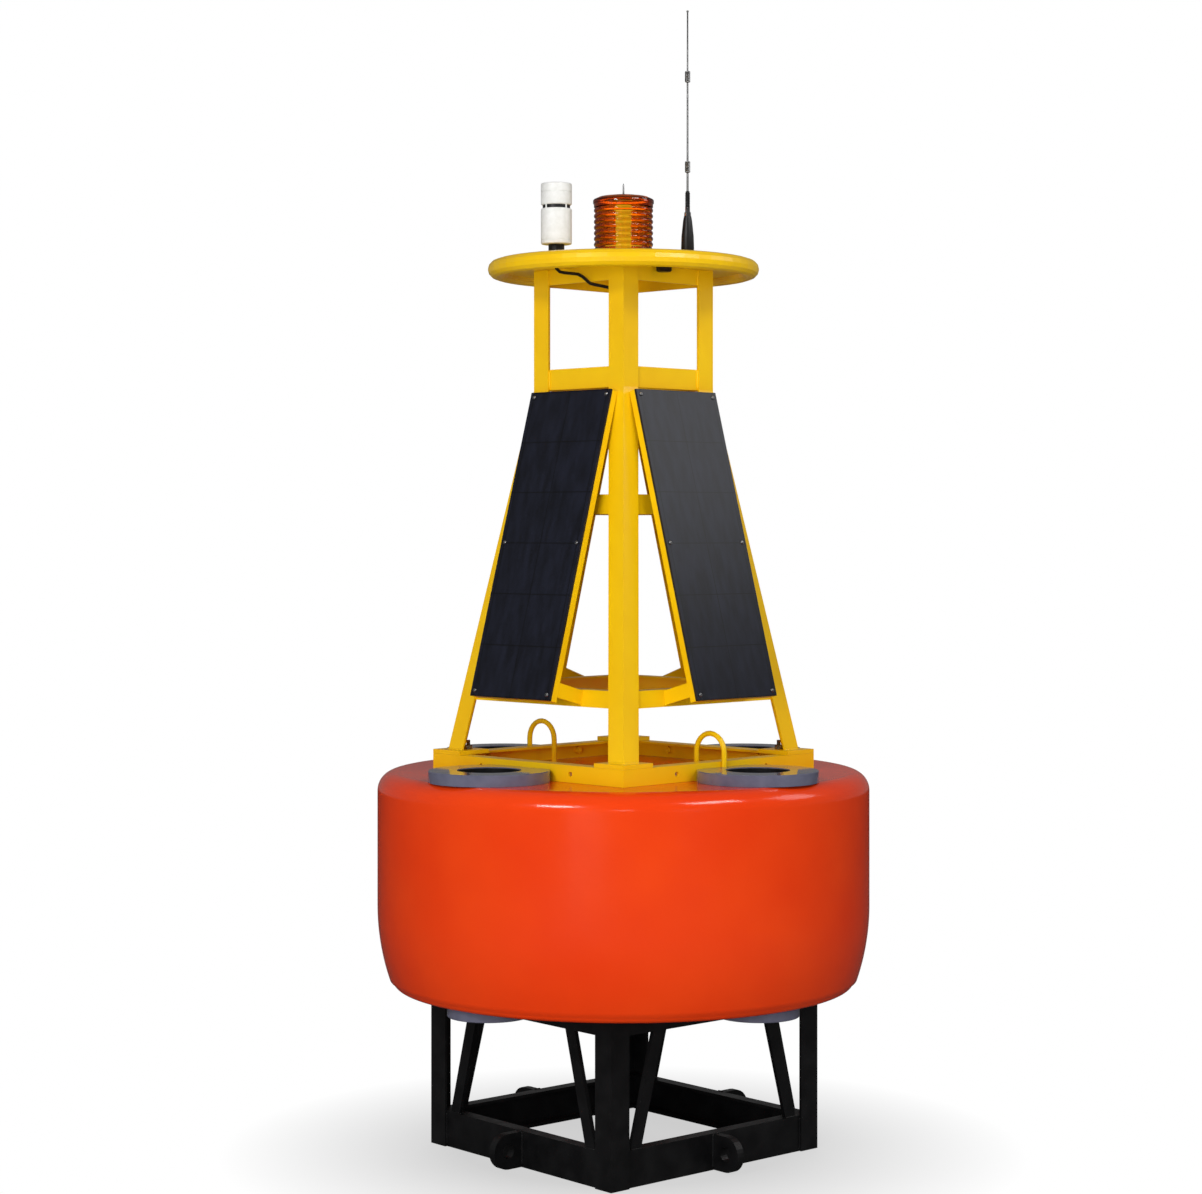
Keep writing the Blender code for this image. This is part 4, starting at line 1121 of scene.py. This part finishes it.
# %% Clips for the cable
BAND_INSIDE = 0.0045
BAND_OUTSIDE = 0.0057
BAND_FOOT = 0.0004
BAND_TOP = 0.0104
TAB_TOP = 0.0016
TAB_HALF = 0.005
TAB_END = -0.0285
SCREW_AT = -0.021
SHELF_PLATE = 0.005
band = [(BAND_INSIDE, BAND_FOOT), (BAND_OUTSIDE, BAND_FOOT)]
band += [(BAND_OUTSIDE, BAND_TOP), (BAND_INSIDE, BAND_TOP)]
tab = [(-TAB_HALF, TAB_END), (TAB_HALF, TAB_END), (TAB_HALF, -TAB_HALF), (-TAB_HALF, -TAB_HALF)]
cable_points = [v.co for v in nodes["sensor_cable"].data.vertices]
shelf_heights = [
    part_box("outrigger_ring")[1].z,
    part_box("tower_mid_ring")[0].z + SHELF_PLATE,
    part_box("tower_cage_ring")[1].z,
]
bm = bmesh.new()
for shelf in shelf_heights:
    near = sorted(cable_points, key=lambda p: abs(p.z - shelf))[:16]
    middle = sum((Vector(p) for p in near), Vector()) / len(near)
    middle.z = shelf
    rows = []
    for i in range(25):
        angle = math.tau * i / 24
        out = Vector((math.cos(angle), math.sin(angle), 0))
        rows.append([bm.verts.new(middle + out * r + Vector((0, 0, z))) for r, z in band])
    for row, following in zip(rows, rows[1:]):
        join_loops(bm, row, following)
    prism(bm, tab, BAND_FOOT, TAB_TOP, Matrix.Translation(middle))
    screw_at = Matrix.Translation(middle + Vector((0, SCREW_AT, TAB_TOP)))
    turned(bm, raised(SCREW_HEAD, 0.002), screw_at, 20)
merge_doubles(bm)
finish_piece("cable_clips", bm, "rod_steel")
print("cable clips:", len(shelf_heights))

# %% [markdown]
# ## Studio floor
#
# The buoy stands on a pale floor, a wide disc. Near the buoy the floor shows plain
# shading, so the shadow stays, and its colour is a darker grey there: painted shade
# round the buoy's foot, which also sends less light up under the float. Further out
# it turns to a white glow that only the camera and clear things see. Glossy things
# see a dark grey floor, as on a stage that is lit only round the object.

# %% Studio floor
FLOOR_RADIUS = 14.0
WHITE = linear("FFFFFF")
bm = bmesh.new()
bmesh.ops.create_circle(bm, cap_ends=True, segments=96, radius=FLOOR_RADIUS)
mesh = bpy.data.meshes.new("studio_floor")
bm.to_mesh(mesh)
bm.free()
floor = bpy.data.objects.new("studio_floor", mesh)
floor.location.z = -0.001
bpy.context.scene.collection.objects.link(floor)
floor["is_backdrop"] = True
ground, tree, shader, place = start_material("pale studio floor", "F0F0F0", 0.9)
from_buoy = compute_vector(tree, "LENGTH", place)
path = add(tree, "ShaderNodeLightPath")
# darker grey near the buoy, pale further out: painted shade round the buoy's foot
floor_tone_with_painted_shade = tint(tree, span(tree, from_buoy, 1.0, 3.5), "8A8A8A", "F0F0F0")
dark = {"data_type": "RGBA", 7: linear("484848")}
tone = add(tree, "ShaderNodeMix", dark, {0: path.outputs["Is Glossy Ray"], 6: floor_tone_with_painted_shade})
tree.links.new(tone.outputs[2], shader.inputs["Base Color"])
far = span(tree, from_buoy, 0.40, 0.98, 0.60, 1.0)
seen = compute(
    tree, "MAXIMUM", path.outputs["Is Camera Ray"], path.outputs["Is Transmission Ray"]
)
fade = compute(tree, "MULTIPLY", far, seen)
glow = add(tree, "ShaderNodeEmission", {"Color": WHITE, "Strength": 1.0})
sockets = {0: fade, 1: shader.outputs[0], 2: glow.outputs[0]}
blend = add(tree, "ShaderNodeMixShader", {}, sockets)
tree.links.new(blend.outputs[0], tree.nodes["Material Output"].inputs["Surface"])
mesh.materials.append(ground)
print("floor radius:", FLOOR_RADIUS)

# %% [markdown]
# ## Studio room
#
# The world is white to the camera and through clear plastic, because the photo has a
# white ground. As a light it is weak and even. What glossy things mirror is a dim
# room, a little lighter behind the buoy than on the camera's side, so that only the
# lamps leave highlights. The Light Path node tells the three apart.

# %% Studio room
scene = bpy.context.scene
world = bpy.data.worlds.new("studio")
scene.world = world
world.use_nodes = True
world.cycles.sampling_method = "NONE"
tree = world.node_tree
ambient = tree.nodes["Background"]
ambient.inputs["Color"].default_value = WHITE
ambient.inputs["Strength"].default_value = 0.23
direction = add(tree, "ShaderNodeTexCoord").outputs["Generated"]
depth = add(tree, "ShaderNodeSeparateXYZ", {}, {0: direction}).outputs["Y"]
dim = span(tree, depth, -0.4, 0.6, 0.06, 0.16)
room = add(tree, "ShaderNodeBackground", {"Color": WHITE}, {"Strength": dim})
white = add(tree, "ShaderNodeBackground", {"Color": WHITE, "Strength": 1.0})
path = add(tree, "ShaderNodeLightPath")
clear = compute(
    tree, "MAXIMUM", path.outputs["Is Camera Ray"], path.outputs["Is Transmission Ray"]
)
sockets = {0: path.outputs["Is Glossy Ray"], 1: ambient.outputs[0], 2: room.outputs[0]}
lit = add(tree, "ShaderNodeMixShader", {}, sockets)
sockets = {0: clear, 1: lit.outputs[0], 2: white.outputs[0]}
sky = add(tree, "ShaderNodeMixShader", {}, sockets)
tree.links.new(sky.outputs[0], tree.nodes["World Output"].inputs["Surface"])
print("world:", world.name)

# %% [markdown]
# ## Studio lamps
#
# Soft boxes light the buoy as a product photographer would: a broad key from the
# camera's left, a fill from the right, one from behind, and boxes above for the
# highlights on the float's shoulder. The table gives each lamp's place and aim, its
# width and height, its power in watts, and whether glossy things mirror it. A lamp
# that isn't mirrored gives light and leaves no white patch on the float.

# %% Studio lamps
LAMPS = {
    "key": ((-2.1, -7.2, 1.7), (0, 0, 1.1), 2.2, 3.2, 208, False),
    "left box": ((-3.4, -5.6, 4.6), (0, 0, 1.0), 2.0, 1.0, 128, True),
    "right box": ((2.9, -2.65, 4.6), (0, 0, 1.5), 2.0, 0.9, 58, True),
    "right fill": ((3.4, -6.0, 1.9), (0, 0, 1.2), 1.4, 2.4, 42, False),
    "back": ((0.5, 5.5, 4.0), (0, 0, 1.2), 3.0, 2.0, 90, False),
    "sheen": ((5.0, 0.3, 4.2), (0.3, -0.3, 1.9), 2.0, 2.0, 30, True),
    "front": ((0.0, -6.9, 2.4), (0, 0, 1.0), 0.5, 0.5, 5, True),
}
for name, (where, aim, width, height, power, mirrored) in LAMPS.items():
    data = bpy.data.lights.new(name, "AREA")
    data.shape = "RECTANGLE"
    data.size = width
    data.size_y = height
    data.energy = power
    lamp = bpy.data.objects.new(name, data)
    lamp.location = where
    lamp.visible_glossy = mirrored
    lamp.rotation_euler = (Vector(aim) - Vector(where)).to_track_quat("-Z", "Y").to_euler()
    scene.collection.objects.link(lamp)
print("lamps:", len(LAMPS))

# %% [markdown]
# ## Camera
#
# The photo was taken at eye height with a level camera six and a half metres away:
# the tower's uprights stay upright in it. A level camera with a shifted frame does
# the same here.

# %% Camera
data = bpy.data.cameras.new("photo_camera")
data.lens = 79.67
data.sensor_width = 36
data.shift_x = -0.0187
data.shift_y = -0.0569
data.clip_end = 100
camera = bpy.data.objects.new("photo_camera", data)
camera.location = (0, -6.515, 1.510)
camera.rotation_euler = (QUARTER, 0, 0)
scene.collection.objects.link(camera)
scene.camera = camera
scene.view_settings.view_transform = "Standard"
print("camera:", camera.name, "lens:", data.lens)

# %% [markdown]
# ## Size and finish
#
# The dressed buoy is meant to keep the size of the solids; this cell prints its size.

# %% Size and finish
low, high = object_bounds()
print("visual size:", [round(v, 4) for v in high - low])
